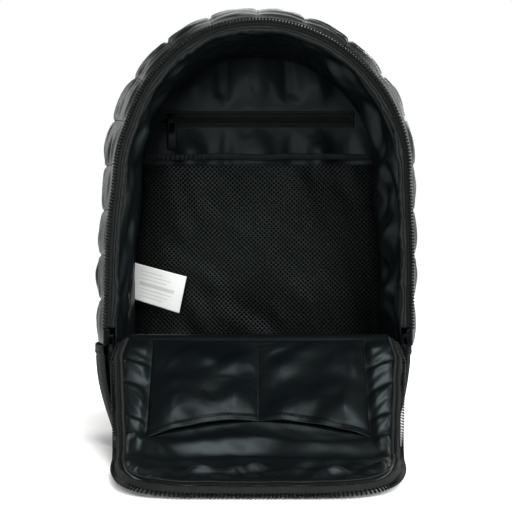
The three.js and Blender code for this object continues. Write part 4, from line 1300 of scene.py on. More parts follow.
def slider_parts(kind):
    """A slider's rounded plate and its wire arch."""
    part = SLIDERS[kind]
    plate = rounded_bar(part.wide, part.deep, part.high, part.corner, SLIDER_TAPER[kind])
    return plate, wire(bail_line(part.arch_out, part.arch_half), part.wire)


def tab_plate(wide, high, eye_up, tab, count):
    """A pull tab: a rounded plate with an eye above its middle."""
    eye = rounded_loop(tab.eye_wide, tab.eye_high, tab.eye_corner, count) + [0, eye_up]
    return ring_plate(eye, rounded_loop(wide, high, tab.corner, count), tab.thick, tab.bevel)


def make_sliders():
    """The main zip's sliders at its lower ends, each with its pull, and the pocket's slider and pull tab."""
    seat, tab_size, pull = SLIDER_SEAT, MAIN_TAB_SIZE, bpy.context.scene.bag.pockets
    plate, arch = slider_parts("main")
    tab = tab_plate(tab_size.wide, tab_size.high, tab_size.eye_up, MAIN_TAB, 48)
    for name, side in SIDES:
        low, high = corners(f"main_slider_{name}")
        x = side * (abs(high[0] if side > 0 else low[0]) - seat.from_side)
        z = high[2] - seat.below_top
        tab_y = (low[1] + high[1]) / 2 - seat.tab_front
        parts = [
            moved(plate, (x, low[1] + seat.face, z)),
            moved(arch, (x, low[1] + seat.arch, z)),
            moved(tab, (x - side * seat.tab_in, tab_y, z - seat.tab_down)),
        ]
        add_piece(f"slider_{name}", joined(parts), "metal", [f"main_slider_{name}"])
    low, high = corners("pocket_slider")
    x, z = (low[0] + high[0]) / 2, (low[2] + high[2]) / 2
    face = high[1] - POCKET_SEAT.arch
    plate, arch = slider_parts("pocket")
    parts = [moved(plate, (x, face + POCKET_SEAT.face, z)), moved(arch, (x, face, z))]
    add_piece("pocket_zip_slider", joined(parts), "metal", ["pocket_slider"])
    low, high = corners("pocket_pull_tab")
    tab = tab_plate(pull.pull_wide, pull.pull_long, pull.pull_long / 2 - PULL_EYE_DOWN, PULL_TAB, 64)
    tab = moved(tab, (low + high) / 2)
    add_piece("pull_tab", tab, "metal", rides=PULL, replaces=["pocket_pull_tab"])


# Pockets and label on the back lining

POCKET_TAPE = table(
    "up proud",
    (-8.5, 0.3), (-8.3, 1.5), (-7.0, 1.7), (-6.6, 0.5), (-6.0, 0.4), (-5.6, 1.5), (-3.6, 1.8),
    (-3.2, 0.4), (0, 0.3), (3.2, 0.4), (3.6, 1.8), (5.6, 1.5), (6.0, 0.4), (6.6, 0.5), (7.0, 1.7),
    (8.3, 1.5), (8.5, 0.3),
)
POCKET_SEAMS = (5, 10)
POCKET_TAPE_STEPS = 121
COIL = metres(end=4, thick=0.75, wide=2.5, deep=0.9, proud=1.25, apart=1.15)
MESH_INSET = 15.6 * MM
MESH_YARN = 0.35 * MM
MESH_FOOT = 60 * MM
GATHER = metres(start=104, rise=12, end=40, fall=25, high=0.75, pitch=4.7, drift=9)
LEAST_GATHER = 0.12


def make_pocket_zip():
    """The pocket zip: a tape with a folded lip above and below a coil, and stitches along both lips."""
    low, high = POCKET_ZIP_LOW, POCKET_ZIP_HIGH
    x = np.linspace(low[0], high[0], POCKET_TAPE_STEPS)[None, :]
    middle, seat = (low[2] + high[2]) / 2, high[1]
    up, proud = table_columns(POCKET_TAPE, "up", "proud").T[..., None]
    uneven = ripples("pocket_lip", x, up)
    grid = point(x, seat - proud - 0.2 * MM + uneven, middle + up + 0.4 * uneven)
    body = slab(grid, point(x, seat, middle + up))
    add_piece("pocket_tape", body, "tape", ["pocket_zip_tape"], uv=cloth_uv(grid))
    pitch = bpy.context.scene.bag.zips.coil_pitch
    at = np.arange(low[0] + COIL.end, high[0] - COIL.end, pitch)
    turn = tooth_body(COIL.thick, COIL.wide, COIL.deep)
    rows = []
    for _, side in SIDES:
        places = point(at + side * pitch / 4, seat - COIL.proud, middle + side * COIL.apart)
        across = same_way((0.25, 0, -side), places)
        rows.append(copies(turn, places, across, same_way(FORWARD, places)))
    add_piece("pocket_coil", joined(rows), "teeth")
    seams = [lerp(grid[k], grid[k + 1], 0.5) for k in POCKET_SEAMS]
    sew("pocket_zip_seams", [(seam, same_way(FORWARD, seam)) for seam in seams])


def mesh_depth(x, z):
    """Where the mesh stands in depth: sewn down at its sides and foot, slack between them and at the top."""
    slack = bpy.context.scene.bag.pockets.mesh_slack
    across = 1 - np.minimum(1, np.abs(x) / arched_half(z, MESH_INSET)) ** 6
    foot = smooth((z - MESH_LOW[2]) / MESH_FOOT)
    waves = ripples("mesh_billow", x, z) + ripples("mesh_ripple", x, z)
    return MESH_HIGH[1] - (slack + waves) * across * foot


def make_mesh_pocket():
    """The mesh: a lattice of diamonds, each a ring of four quads around its hole, on a slack surface."""
    pockets = bpy.context.scene.bag.pockets
    pitch = pockets.hole_pitch
    half = np.max(arched_half(np.linspace(MESH_LOW[2], MESH_HIGH[2], 60), MESH_INSET))
    columns = int(half / (pitch / 2)) + 1
    rows = int((MESH_HIGH[2] - MESH_LOW[2]) / (pitch / 2)) - 1
    i, j = np.meshgrid(np.arange(-columns, columns + 1), np.arange(1, rows), indexing="ij")
    x, z = i * pitch / 2, MESH_LOW[2] + j * pitch / 2
    chosen = ((i + j) % 2 == 0) & (np.abs(x) < arched_half(z, MESH_INSET) - pitch / 2)
    i, j = i[chosen], j[chosen]
    step = np.array([[1, 0], [0, 1], [-1, 0], [0, -1]])
    knots = np.stack((i, j), axis=1)[:, None] + step
    span = 2 * (rows + 2)
    key = (knots[..., 0] + columns + 2) * span + knots[..., 1]
    _, first, number = np.unique(key, return_index=True, return_inverse=True)
    number = number.reshape(key.shape)
    outer = knots.reshape(-1, 2)[first] * pitch / 2
    middle = np.stack((i, j), axis=1) * pitch / 2
    inner = (middle[:, None] + step * pitch / 2 * pockets.hole_share).reshape(-1, 2)
    flat = np.concatenate((outer, inner))
    hole = len(outer) + np.arange(len(inner)).reshape(-1, 4)
    after = np.roll(np.arange(4), -1)
    faces = np.stack((number, number[:, after], hole[:, after], hole), axis=-1).reshape(-1, 4)
    x, z = flat[:, 0], MESH_LOW[2] + flat[:, 1]
    points = point(x, mesh_depth(x, z) - SEWN_GAP, z)
    a, b, c = (points[faces[0, k]] for k in range(3))
    if np.cross(b - a, c - a)[1] > 0:
        faces = faces[:, ::-1]
    made = add_piece("mesh_net", (points, faces), "mesh", ["mesh_pocket"])
    yarn = made.modifiers.new("yarn", "SOLIDIFY")
    yarn.thickness = MESH_YARN
    yarn.offset = -1


def make_mesh_binding():
    """The folded tape on the mesh's mouth, gathered near the left, with a row of stitches. Its section is a
    squared ellipse, and the gathers are a sine wave along it whose pitch drifts."""
    pockets = bpy.context.scene.bag.pockets
    low = MESH_HIGH[2] + 0.2 * MM
    half = arched_half(low + pockets.binding_high, MESH_INSET) - MM
    x = np.linspace(-half, half, 301)[:, None]
    gathered = smooth((x + GATHER.start) / GATHER.rise) * smooth((-GATHER.end - x) / GATHER.fall)
    turns = math.tau * x / GATHER.pitch + 0.8 * np.sin(x / GATHER.drift)
    gather = (gathered + LEAST_GATHER) * GATHER.high * np.sin(turns)
    t = np.linspace(0, math.tau, 20, endpoint=False)[None, :]
    section_y = pockets.binding_thick / 2 * np.sign(np.cos(t)) * np.abs(np.cos(t)) ** 0.7
    section_z = pockets.binding_high / 2 * np.sign(np.sin(t)) * np.abs(np.sin(t)) ** 0.6
    y = mesh_depth(x, MESH_HIGH[2]) - 1.4 * MM + gather
    z = low + pockets.binding_high / 2 + section_z + ripples("binding_wave", x, x) + 0.4 * gather
    rings = point(x, y + section_y, z)
    add_piece("mouth_binding", loft(rings), "binding", ["mesh_binding"])
    front = rings[:, 10] - [0, 0.1 * MM, 1.4 * MM]
    sew("binding_seam", [(front, same_way(FORWARD, front))])


LABEL_CUT = metres(long=58, high=38.5, thick=0.35)
LABEL_HANG = metres(seat=0.8, drop=14.6, lean=8, lift=10, twist=2, curl=0.8, wave=0.5)


def make_care_label():
    """The ribbon label: sewn at its left end, with its free end falling a little and standing off."""
    rows, columns = GRIDS["care_label"]
    u = np.linspace(0, 1, rows)[:, None]
    v = np.linspace(0, 1, columns)[None, :]
    hang, cut = LABEL_HANG, LABEL_CUT
    curl = hang.curl * np.sin(np.pi * v) * u + hang.wave * np.sin(3 * np.pi * u) * v
    x = LABEL_LOW[0] + (LABEL_HIGH[0] - LABEL_LOW[0]) * u - hang.lean * v * u
    y = LABEL_HIGH[1] - hang.seat - hang.lift * np.sin(np.pi / 2 * u) + hang.twist * u * v - curl
    z = LABEL_HIGH[2] - hang.drop * u - cut.high * v
    grid = point(x, y, z)
    uv = np.stack(np.broadcast_arrays(u, v), axis=-1)
    if grid_normals(grid)[..., 1].sum() > 0:
        grid, uv = grid[::-1], uv[::-1]
    uv = np.concatenate([uv.reshape(-1, 2)] * 2)
    body = slab(grid, grid - cut.thick * grid_normals(grid))
    made = add_piece("label_ribbon", body, "label", ["care_label"], uv=uv)


# Haul loop and shoulder straps

LOOP = metres(half=36, foot=408.7, rise=38, front=67, wide=17, thick=3, corner=1.2, spacing=1.6)
STRAP_PAD = metres(border=3, rise=6, seam=5, seam_wide=1.3)
BORDER_THICKNESS = 0.42
SEAM_DEPTH = 0.14
WEB = metres(wide=25, thick=1.9, corner=0.9)
LOCK = metres(hole_wide=27, hole_high=15.5, hole_corner=1.2, corner=3, bevel=0.9, bar_high=6.5, bar_long=28)


def make_haul_loop():
    """The haul loop: webbing bent over in an arch, its legs sewn down to the top of the back."""
    t = np.linspace(0, 1, 81)
    middle = LOOP.thick / 2
    x = -(LOOP.half - 0.6 * middle) * np.cos(np.pi * t)
    z = LOOP.foot + (LOOP.rise - middle) * np.sin(np.pi * t).clip(0) ** 0.7
    line = spaced(point(x, LOOP.front + LOOP.wide / 2, z), LOOP.spacing)
    across = np.array([0.0, 1.0, 0.0])
    normal = np.cross(unit(np.gradient(line, axis=0)), across)
    section = rounded_loop(LOOP.wide, LOOP.thick, LOOP.corner, 32)
    rings = line[:, None] + section[None, :, :1] * across + section[None, :, 1:] * normal[:, None]
    add_piece("carry_loop", loft(rings), "webbing", ["haul_loop"])


def strap_frame(rows, side, count):
    """Middle line of a strap through a table's rows, with the direction across its flat side."""
    line = table_columns(rows, "x", "y", "z") * [side, 1, 1]
    line = spaced(through(line, 200), distances(line)[-1] / count)
    along = unit(np.gradient(line, axis=0))
    flat = unit(np.stack((0 * along[:, 0], -along[:, 2], along[:, 1]), axis=1))
    return line, flat


def make_strap_pad(name, side):
    """A shoulder pad: a squared ellipse along its line, thin at its border, with a seam drawn in there."""
    z_rows, half_rows, thick_rows = table_columns(STRAP_ROWS, "z", "half", "thick")[::-1].T
    t = math.tau * (np.arange(64) + 0.5) / 64
    across = np.sign(np.cos(t)) * np.abs(np.cos(t)) ** 0.55
    line, flat = strap_frame(STRAP_ROWS, side, 150)
    half = np.interp(line[:, 2], z_rows, half_rows)[:, None]
    thick = np.interp(line[:, 2], z_rows, thick_rows)[:, None]
    from_edge = half * (1 - np.abs(across))
    border = smooth((from_edge - STRAP_PAD.border) / STRAP_PAD.rise)
    seam = np.exp(-(((from_edge - STRAP_PAD.seam) / STRAP_PAD.seam_wide) ** 2))
    level = np.sign(np.sin(t)) * np.abs(np.sin(t)) ** 0.5 * thick / 2
    level = level * (lerp(BORDER_THICKNESS, 1, border) - SEAM_DEPTH * seam)
    rings = line[:, None] + level[..., None] * flat[:, None]
    rings[..., 0] += across * half
    made = add_piece(f"strap_pad_{name}", loft(rings), "strap", [f"shoulder_pad_{name}"])
    sewn = slice(4, -4)
    borders = [line + edge * (half - STRAP_PAD.seam) * [1, 0, 0] + 0.4 * thick * flat for edge in (-1, 1)]
    sew(f"strap_border_{name}", [(path[sewn], flat[sewn]) for path in borders])


def make_web(name, side):
    """The webbing below a shoulder pad: a flat rounded section along its line."""
    line, flat = strap_frame(WEB_ROWS, side, 60)
    section = rounded_loop(WEB.wide, WEB.thick, WEB.corner, 32)
    rings = line[:, None] + section[None, :, 1:] * flat[:, None]
    rings[..., 0] += section[:, 0]
    add_piece(f"web_{name}", loft(rings), "webbing", [f"strap_web_{name}"])


def make_lock(name):
    """A ladder lock: a rounded frame with a bar across its opening."""
    low, high = corners(f"ladder_lock_{name}")
    wide, deep, tall = high - low
    hole = rounded_loop(LOCK.hole_wide, LOCK.hole_high, LOCK.hole_corner, 64)
    rim = ring_plate(hole, rounded_loop(wide, tall, LOCK.corner, 64), deep, LOCK.bevel)
    upright, faces = rounded_bar(LOCK.bar_high, deep * 0.92, LOCK.bar_long, LOCK.bevel)
    bar = upright[:, [2, 1, 0]]
    body = moved(joined([rim, (bar, outward(bar, faces))]), (low + high) / 2)
    add_piece(f"lock_{name}", body, "buckle", [f"ladder_lock_{name}"])


def make_straps():
    """Shoulder pads with a sewn border, webbing below them, and ladder locks between."""
    for name, side in SIDES:
        make_strap_pad(name, side)
        make_web(name, side)
        make_lock(name)


# Finishes


def add_node(tree, kind, inputs=(), **settings):
    """Adds a node: settings are its own values, inputs its sockets' values or the sockets that feed them."""
    made = tree.nodes.new("ShaderNode" + kind)
    for name, value in settings.items():
        setattr(made, name, value)
    for name, value in dict(inputs).items():
        if isinstance(value, bpy.types.NodeSocket):
            tree.links.new(value, made.inputs[name])
        else:
            made.inputs[name].default_value = value
    return made


def new_finish(name, colour, rough, gloss=0.5, others=()):
    """A material with one Principled shader: its colour, roughness, specular level and any other sockets that
    are the same all over."""
    made = bpy.data.materials.new(name)
    made.use_nodes = True
    shader = made.node_tree.nodes["Principled BSDF"]
    sockets = {"Base Color": (*colour, 1), "Roughness": rough, "Specular IOR Level": gloss, **dict(others)}
    for socket, value in sockets.items():
        shader.inputs[socket].default_value = value
    return made, made.node_tree, shader


def weave(tree, coords, across, along):
    """Height of a plain weave: warp and weft are sine ridges at their spacing that take turns on top."""
    turns = (math.tau / across, math.tau / along, 0)
    scaled = add_node(tree, "VectorMath", {0: coords, 1: turns}, operation="MULTIPLY")
    parts = add_node(tree, "SeparateXYZ", {0: scaled.outputs[0]})
    warp = add_node(tree, "Math", {0: parts.outputs[0]}, operation="SINE")
    weft = add_node(tree, "Math", {0: parts.outputs[1]}, operation="SINE")
    return add_node(tree, "Math", {0: warp.outputs[0], 1: weft.outputs[0]}, operation="MULTIPLY").outputs[0]


def uneven_colour(tree, shader, coords, colour, by, patch):
    """Colour that varies up to a factor in soft patches of a size in metres."""
    noise = add_node(tree, "TexNoise", {"Vector": coords, "Scale": 1 / patch, "Detail": 3.0})
    mixed = {0: noise.outputs[0], 6: (*colour, 1), 7: (*brighter(colour, by), 1)}
    mix = add_node(tree, "Mix", mixed, data_type="RGBA")
    tree.links.new(mix.outputs[2], shader.inputs["Base Color"])
    return noise


def raised(tree, shader, heights):
    """Bump from heights: each a socket, its depth in metres and its strength, one on top of the other."""
    normal = None
    for height, depth, strength in heights:
        inputs = {"Height": height, "Distance": depth, "Strength": strength}
        if normal is not None:
            inputs["Normal"] = normal
        normal = add_node(tree, "Bump", inputs).outputs[0]
    tree.links.new(normal, shader.inputs["Normal"])


def brighter(colour, by):
    """A colour made lighter by a factor."""
    return tuple(min(1.0, part * by) for part in colour)


def quilted_nylon(colours):
    """Nylon taffeta, calendered: a close plain weave with a soft shine, creased finely by the quilting.
    The weave is drawn at 1.1 mm, coarser than life, so that it shows."""
    colour = colours.quilt
    tinted = {"Specular Tint": (*colours.quilt_gloss, 1)}
    made, tree, shader = new_finish("calendered_nylon_taffeta", colour, 0.3, 0.42, tinted)
    cloth = add_node(tree, "UVMap", uv_map="cloth").outputs[0]
    coords = add_node(tree, "TexCoord").outputs["Object"]
    uneven_colour(tree, shader, coords, colour, 1.35, 30 * MM)
    crease = add_node(tree, "TexNoise", {"Vector": coords, "Scale": 1 / (7 * MM), "Detail": 4.0})
    threads = weave(tree, cloth, 1.1 * MM, 1.1 * MM)
    raised(tree, shader, [(crease.outputs[0], 0.8 * MM, 0.35), (threads, 0.1 * MM, 0.35)])
    return made


def satin_lining(colours, name="polyester_satin", rough=0.37, level=0.095):
    """Polyester satin: long floats on its face give a broad gloss along the threads and dark hollows."""
    colour = colours.satin
    others = {"Anisotropic": 0.3, "Specular Tint": (*colours.satin_gloss, 1)}
    made, tree, shader = new_finish(name, colour, rough, level, others)
    cloth = add_node(tree, "UVMap", uv_map="cloth").outputs[0]
    coords = add_node(tree, "TexCoord").outputs["Object"]
    uneven_colour(tree, shader, coords, colour, 1.5, 45 * MM)
    crease = add_node(tree, "TexNoise", {"Vector": coords, "Scale": 1 / (16 * MM), "Detail": 3.0})
    threads = weave(tree, cloth, 0.9 * MM, 1.8 * MM)
    raised(tree, shader, [(crease.outputs[0], 1.2 * MM, 0.25), (threads, 0.06 * MM, 0.25)])
    return made


def taffeta_backing(colours):
    """Painted shade behind the mesh: a matte black taffeta, darker than the satin and nearly without gloss,
    that stands in for the pocket's shadow and keeps the mesh's holes dark.
    """
    colour = colours.backing
    made, tree, shader = new_finish("taffeta_with_painted_shade", colour, 0.8, 0.03)
    cloth = add_node(tree, "UVMap", uv_map="cloth").outputs[0]
    uneven_colour(tree, shader, cloth, colour, 1.6, 12 * MM)
    raised(tree, shader, [(weave(tree, cloth, 1.2 * MM, 1.2 * MM), 0.1 * MM, 0.3)])
    return made


def plain_polyester(colours):
    """Plain-woven polyester: a matte cloth of thick threads, drawn at 1.4 mm so that they show."""
    colour = colours.plain
    made, tree, shader = new_finish("plain_woven_polyester", colour, 0.72, 0.15)
    cloth = add_node(tree, "UVMap", uv_map="cloth").outputs[0]
    uneven_colour(tree, shader, cloth, colour, 1.6, 6 * MM)
    raised(tree, shader, [(weave(tree, cloth, 1.4 * MM, 1.4 * MM), 0.25 * MM, 0.6)])
    return made


def air_mesh(colours):
    """Knitted spacer mesh over foam: matte, with rows of small round hollows 4 mm apart, painted darker
    inside as their shade.
    """
    colour = colours.plain
    made, tree, shader = new_finish("knitted_spacer_mesh", colour, 0.8, 0.12)
    cloth = add_node(tree, "UVMap", uv_map="cloth").outputs[0]
    hollow = add_node(tree, "TexVoronoi", {"Vector": cloth, "Scale": 1 / (4 * MM), "Randomness": 0.15})
    dip = add_node(tree, "MapRange", {0: hollow.outputs[0], 1: 0.15, 2: 0.5})
    # Painted shade: the hollows are coloured far darker than the cloth between them
    mix = add_node(
        tree, "Mix", {0: dip.outputs[0], 6: (*brighter(colour, 0.3), 1), 7: (*brighter(colour, 1.5), 1)},
        data_type="RGBA",
    )
    tree.links.new(mix.outputs[2], shader.inputs["Base Color"])
    raised(tree, shader, [(dip.outputs[0], 0.8 * MM, 0.8)])
    return made


def ribbed_tape(name, colour, rib):
    """Woven narrow tape: matte, with ribs across it at a spacing in metres."""
    made, tree, shader = new_finish(name, colour, 0.65, 0.07)
    coords = add_node(tree, "TexCoord").outputs["Object"]
    uneven_colour(tree, shader, coords, colour, 1.9, 5 * MM)
    cells = add_node(tree, "TexVoronoi", {"Vector": coords, "Scale": 1 / rib, "Randomness": 0.35})
    raised(tree, shader, [(cells.outputs[0], 0.3 * MM, 0.5)])
    return made


def grained(name, colour, rough, gloss, by, patch, bump=(), others=()):
    """A moulded or spun finish: its colour varies in small patches, which a depth and strength may raise."""
    made, tree, shader = new_finish(name, colour, rough, gloss, others)
    coords = add_node(tree, "TexCoord").outputs["Object"]
    noise = uneven_colour(tree, shader, coords, colour, by, patch)
    if bump:
        raised(tree, shader, [(noise.outputs[0], *bump)])
    return made


def moulded_teeth(colours):
    """Moulded nylon teeth: smooth and fairly glossy, so each one catches a glint."""
    return grained("moulded_nylon", colours.teeth, 0.2, 0.09, 1.5, 3 * MM)


def black_nickel(colours):
    """Black nickel plate on a zinc casting: dark polished metal with fine wear and a soft grain."""
    colour = colours.metal
    made, tree, shader = new_finish("black_nickel_plate", colour, 0.3, others={"Metallic": 1.0})
    coords = add_node(tree, "TexCoord").outputs["Object"]
    grain = add_node(tree, "TexNoise", {"Vector": coords, "Scale": 1 / (1.5 * MM), "Detail": 4.0})
    rough = add_node(tree, "MapRange", {0: grain.outputs[0], 3: 0.24, 4: 0.42})
    tree.links.new(rough.outputs[0], shader.inputs["Roughness"])
    return made


def knitted_mesh(colours):
    """Knitted polyester net: dark filament yarn with a slight sheen, uneven along its length."""
    tinted = {"Specular Tint": (*colours.quilt_gloss, 1)}
    return grained("knitted_polyester_net", colours.mesh, 0.32, 0.23, 1.8, 2.5 * MM, (0.2 * MM, 0.5), tinted)


LABEL_RULES = table(
    "at thick from to",
    (0.16, 0.012, 0.12, 0.55), (0.26, 0.012, 0.12, 0.74), (0.36, 0.012, 0.12, 0.66),
    (0.50, 0.05, 0.12, 0.82), (0.64, 0.012, 0.12, 0.78), (0.74, 0.012, 0.12, 0.70),
    (0.84, 0.012, 0.12, 0.60),
)
INK_SHARE = 0.55
RIBBON_THREADS = (0.02, 0.03)


def ribbon_label(colours):
    """White satin ribbon with faint plain rules: each is a band across the label's height and length."""
    colour = colours.label
    made, tree, shader = new_finish("white_satin_ribbon", colour, 0.5, 0.4)
    cloth = add_node(tree, "UVMap", uv_map="cloth").outputs[0]
    parts = add_node(tree, "SeparateXYZ", {0: cloth})
    ink = None
    for rule in LABEL_RULES:
        middle = (rule["from"] + rule["to"]) / 2
        reach = (rule["to"] - rule["from"]) / 2
        across = {0: parts.outputs[1], 1: rule["at"], 2: rule["thick"]}
        level = add_node(tree, "Math", across, operation="COMPARE")
        run = add_node(tree, "Math", {0: parts.outputs[0], 1: middle, 2: reach}, operation="COMPARE")
        band = add_node(tree, "Math", {0: level.outputs[0], 1: run.outputs[0]}, operation="MULTIPLY")
        if ink is not None:
            band = add_node(tree, "Math", {0: band.outputs[0], 1: ink}, operation="MAXIMUM")
        ink = band.outputs[0]
    faint = add_node(tree, "Math", {0: ink, 1: INK_SHARE}, operation="MULTIPLY")
    mix = add_node(
        tree, "Mix", {0: faint.outputs[0], 6: (*colour, 1), 7: (*colours.ink, 1)}, data_type="RGBA"
    )
    tree.links.new(mix.outputs[2], shader.inputs["Base Color"])
    raised(tree, shader, [(weave(tree, cloth, *RIBBON_THREADS), 0.1 * MM, 0.3)])
    return made


def sewing_thread(colours):
    """Polyester sewing thread: a twisted yarn with a low sheen."""
    return grained("polyester_thread", colours.thread, 0.7, 0.05, 1.5, 2 * MM)


def moulded_acetal(colours):
    """Moulded acetal: black, waxy and finely textured by the mould."""
    return grained("moulded_acetal", colours.buckle, 0.42, 0.5, 1.6, 1.2 * MM, (0.1 * MM, 0.3))


FINISHES = {
    "quilt": quilted_nylon,
    "satin": satin_lining,
    "panel_satin": lambda colours: satin_lining(colours, "polyester_satin_panel", 0.42, 0.18),
    "plain": plain_polyester,
    "air_mesh": air_mesh,
    "tape": lambda colours: ribbed_tape("woven_zip_tape", colours.tape, 1.3 * MM),
    "facing": lambda colours: ribbed_tape("woven_facing", colours.facing, 1.3 * MM),
    "backing": taffeta_backing,
    "webbing": lambda colours: ribbed_tape("woven_webbing", colours.tape, 1.8 * MM),
    "binding": lambda colours: ribbed_tape("woven_binding", colours.binding, 1.3 * MM),
    "strap": lambda colours: ribbed_tape("padded_strap_cloth", colours.plain, 1.6 * MM),
    "teeth": moulded_teeth,
    "metal": black_nickel,
    "mesh": knitted_mesh,
    "label": ribbon_label,
    "thread": sewing_thread,
    "buckle": moulded_acetal,
}
made_finishes = {}


def finish(name):
    """A finish by its name, made once."""
    if name not in made_finishes:
        made_finishes[name] = FINISHES[name](bpy.context.scene.bag.colours)
    return made_finishes[name]


# Stage

CAMERA = {"x": -1.9, "y": -1275, "z": 185}
FOCAL_PIXELS = 1263
PHOTO_PIXELS = 512
SENSOR_MM = 36
VIEW_END = 50
FLOOR_HALF = 30
FLOOR_PATCH = 0.4
FLOOR_SHADE = 0.985
SUN_AWAY = 2
SKY = {"seen": 1.0, "light": 0.08}
OVERHEAD = {"power": 4.4, "spread": 28, "tilt": 39, "turn": -22}
SOFTBOXES = table(
    "name at aim size power",
    ("left", (-1.15, 0.75, 0.75), (0, 0, 0.3), 0.9, 5.2),
    ("right", (1.15, 0.75, 0.75), (0, 0, 0.3), 0.9, 5.5),
    ("behind", (0.0, 0.85, 1.35), (0, 0, 0.35), 0.9, 6),
    ("rear", (0.35, 1.7, 0.75), (0, 0, 0.25), 0.8, 14),
    ("left_front", (-1.3, -0.75, 0.45), (0, 0, 0.2), 0.5, 3),
    ("right_front", (1.3, -0.75, 0.45), (0, 0, 0.2), 0.5, 14),
    ("front", (-0.3, -1.6, 0.5), (0, 0, 0.25), 0.6, 11),
)


def add_lamp(name, light, at, aim):
    """Places a lamp and turns it towards a point."""
    lamp = bpy.data.objects.new(name, light)
    way = unit(np.array(aim, float) - np.array(at, float))
    lamp.location = at
    lamp.rotation_euler = (math.acos(-way[2]), 0, math.atan2(-way[0], way[1]))
    bpy.context.scene.collection.objects.link(lamp)


def make_stage():
    """A pale floor, a white surround, a broad light overhead, soft boxes, and the photograph's camera."""
    scene = bpy.context.scene
    scene.view_settings.view_transform = "Standard"
    white = tuple(scene.bag.colours.floor)
    pale, tree, shader = new_finish("pale_paper", white, 0.9, 0.0)
    coords = add_node(tree, "TexCoord").outputs["Object"]
    uneven_colour(tree, shader, coords, white, FLOOR_SHADE, FLOOR_PATCH)
    x = np.array([-FLOOR_HALF, FLOOR_HALF])
    mesh = bpy.data.meshes.new("floor")
    mesh.from_pydata(point(x[:, None], x[None, :], 0.0).reshape(-1, 3).tolist(), [], [[0, 2, 3, 1]])
    mesh.materials.append(pale)
    floor = bpy.data.objects.new("floor", mesh)
    scene.collection.objects.link(floor)
    world = bpy.data.worlds.new("studio")
    world.use_nodes = True
    tree = world.node_tree
    seen = add_node(tree, "LightPath").outputs["Is Camera Ray"]
    strength = add_node(tree, "MapRange", {0: seen, 3: SKY["light"], 4: SKY["seen"]})
    tree.links.new(strength.outputs[0], tree.nodes["Background"].inputs["Strength"])
    tree.nodes["Background"].inputs["Color"].default_value = (1, 1, 1, 1)
    scene.world = world
    sun = bpy.data.lights.new("overhead", "SUN")
    sun.energy = OVERHEAD["power"]
    sun.angle = math.radians(OVERHEAD["spread"])
    tilt, turn = math.radians(OVERHEAD["tilt"]), math.radians(OVERHEAD["turn"])
    up = np.array([-math.sin(tilt) * math.sin(turn), -math.sin(tilt) * math.cos(turn), math.cos(tilt)])
    add_lamp("overhead", sun, SUN_AWAY * up, (0, 0, 0))
    for box in SOFTBOXES:
        light = bpy.data.lights.new(f"softbox_{box['name']}", "AREA")
        light.size = box["size"]
        light.energy = box["power"]
        add_lamp(light.name, light, box["at"], box["aim"])
    lens = bpy.data.cameras.new("camera")
    lens.sensor_width = SENSOR_MM
    lens.lens = FOCAL_PIXELS / PHOTO_PIXELS * SENSOR_MM
    lens.clip_end = VIEW_END
    eye = bpy.data.objects.new("camera", lens)
    eye.location = [CAMERA[axis] * MM for axis in "xyz"]
    eye.rotation_euler = (math.pi / 2, 0, 0)
    scene.collection.objects.link(eye)
    scene.camera = eye


# Operators and panel


class BAG_OT_stage(bpy.types.Operator):
    """Makes the floor, the lights and the camera"""

    bl_idname = "bag.stage"
    bl_label = "Stage"

    def execute(self, context):
        make_stage()
        return {"FINISHED"}


class BAG_OT_quilted_wall(bpy.types.Operator):
    """Makes the padded wall with its blown-out channels and seams"""

    bl_idname = "bag.quilted_wall"
    bl_label = "Quilted wall"

    def execute(self, context):
        make_quilted_wall()
        return {"FINISHED"}


class BAG_OT_linings(bpy.types.Operator):
    """Makes the satin linings of the wall and the back"""

    bl_idname = "bag.linings"
    bl_label = "Linings"

    def execute(self, context):
        make_wall_lining()
        make_back_lining()
        return {"FINISHED"}


class BAG_OT_lower_body(bpy.types.Operator):
    """Makes the lower sides, the base and the padded back"""

    bl_idname = "bag.lower_body"
    bl_label = "Lower body and back"

    def execute(self, context):
        make_lower_sides()
        make_base()
        make_back_pad()
        return {"FINISHED"}


class BAG_OT_front_panel(bpy.types.Operator):
    """Makes the folded front panel, its lining and its slip pockets"""

    bl_idname = "bag.front_panel"
    bl_label = "Front panel"

    def execute(self, context):
        make_front_panel()
        make_front_lining()
        make_slip_pocket()
        return {"FINISHED"}


class BAG_OT_main_zip(bpy.types.Operator):
    """Makes both halves of the main zip, and all sliders and pulls"""

    bl_idname = "bag.main_zip"
    bl_label = "Zips and sliders"

    def execute(self, context):
        make_body_zip()
        make_rim_zip()
        make_sliders()
        return {"FINISHED"}


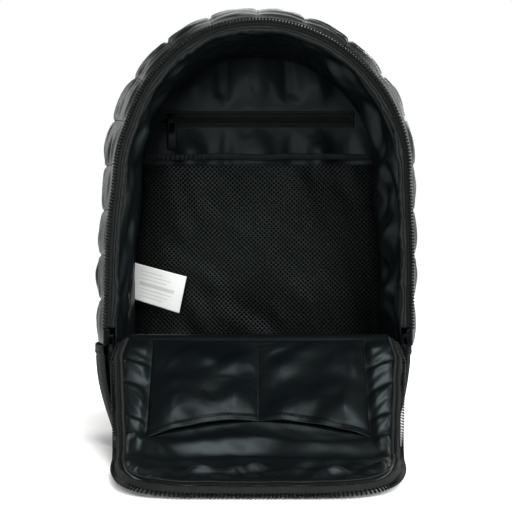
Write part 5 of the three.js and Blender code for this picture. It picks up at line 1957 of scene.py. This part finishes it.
class BAG_OT_inner_pockets(bpy.types.Operator):
    """Makes the pocket zip, the mesh pocket with its binding, and the label"""

    bl_idname = "bag.inner_pockets"
    bl_label = "Inner pockets"

    def execute(self, context):
        make_pocket_zip()
        make_mesh_pocket()
        make_mesh_binding()
        make_care_label()
        return {"FINISHED"}


class BAG_OT_straps(bpy.types.Operator):
    """Makes the haul loop, the shoulder pads, their webbing and the ladder locks"""

    bl_idname = "bag.straps"
    bl_label = "Straps"

    def execute(self, context):
        make_haul_loop()
        make_straps()
        return {"FINISHED"}


OPERATORS = [
    BAG_OT_stage,
    BAG_OT_quilted_wall,
    BAG_OT_linings,
    BAG_OT_lower_body,
    BAG_OT_front_panel,
    BAG_OT_main_zip,
    BAG_OT_inner_pockets,
    BAG_OT_straps,
]


class BAG_PT_panel(bpy.types.Panel):
    """Lists the backpack's operators and settings"""

    bl_idname = "BAG_PT_panel"
    bl_label = "Backpack"
    bl_space_type = "VIEW_3D"
    bl_region_type = "UI"
    bl_category = "Backpack"

    def draw(self, context):
        for operator in OPERATORS:
            self.layout.operator(operator.bl_idname)
        bag = context.scene.bag
        for group in (bag.body, bag.quilt, bag.flap, bag.lining, bag.zips, bag.pockets, bag.colours):
            box = self.layout.box()
            for name in group.bl_rna.properties.keys():
                if name not in ("rna_type", "name"):
                    box.prop(group, name)


GROUPS = [BodySizes, QuiltSizes, FlapSizes, LiningSizes, ZipSizes, PocketSizes, Colours, BagSettings]
CLASSES = [*GROUPS, *OPERATORS, BAG_PT_panel]


def register():
    """Registers the classes and puts the settings on the scene."""
    for cls in CLASSES:
        bpy.utils.register_class(cls)
    bpy.types.Scene.bag = PointerProperty(type=BagSettings)


def unregister():
    """Takes the settings off the scene and unregisters the classes."""
    del bpy.types.Scene.bag
    for cls in reversed(CLASSES):
        bpy.utils.unregister_class(cls)


def main():
    """Makes the stage and every piece."""
    register()
    for operator in OPERATORS:
        group, name = operator.bl_idname.split(".")
        getattr(getattr(bpy.ops, group), name)()


if __name__ == "__main__":
    main()
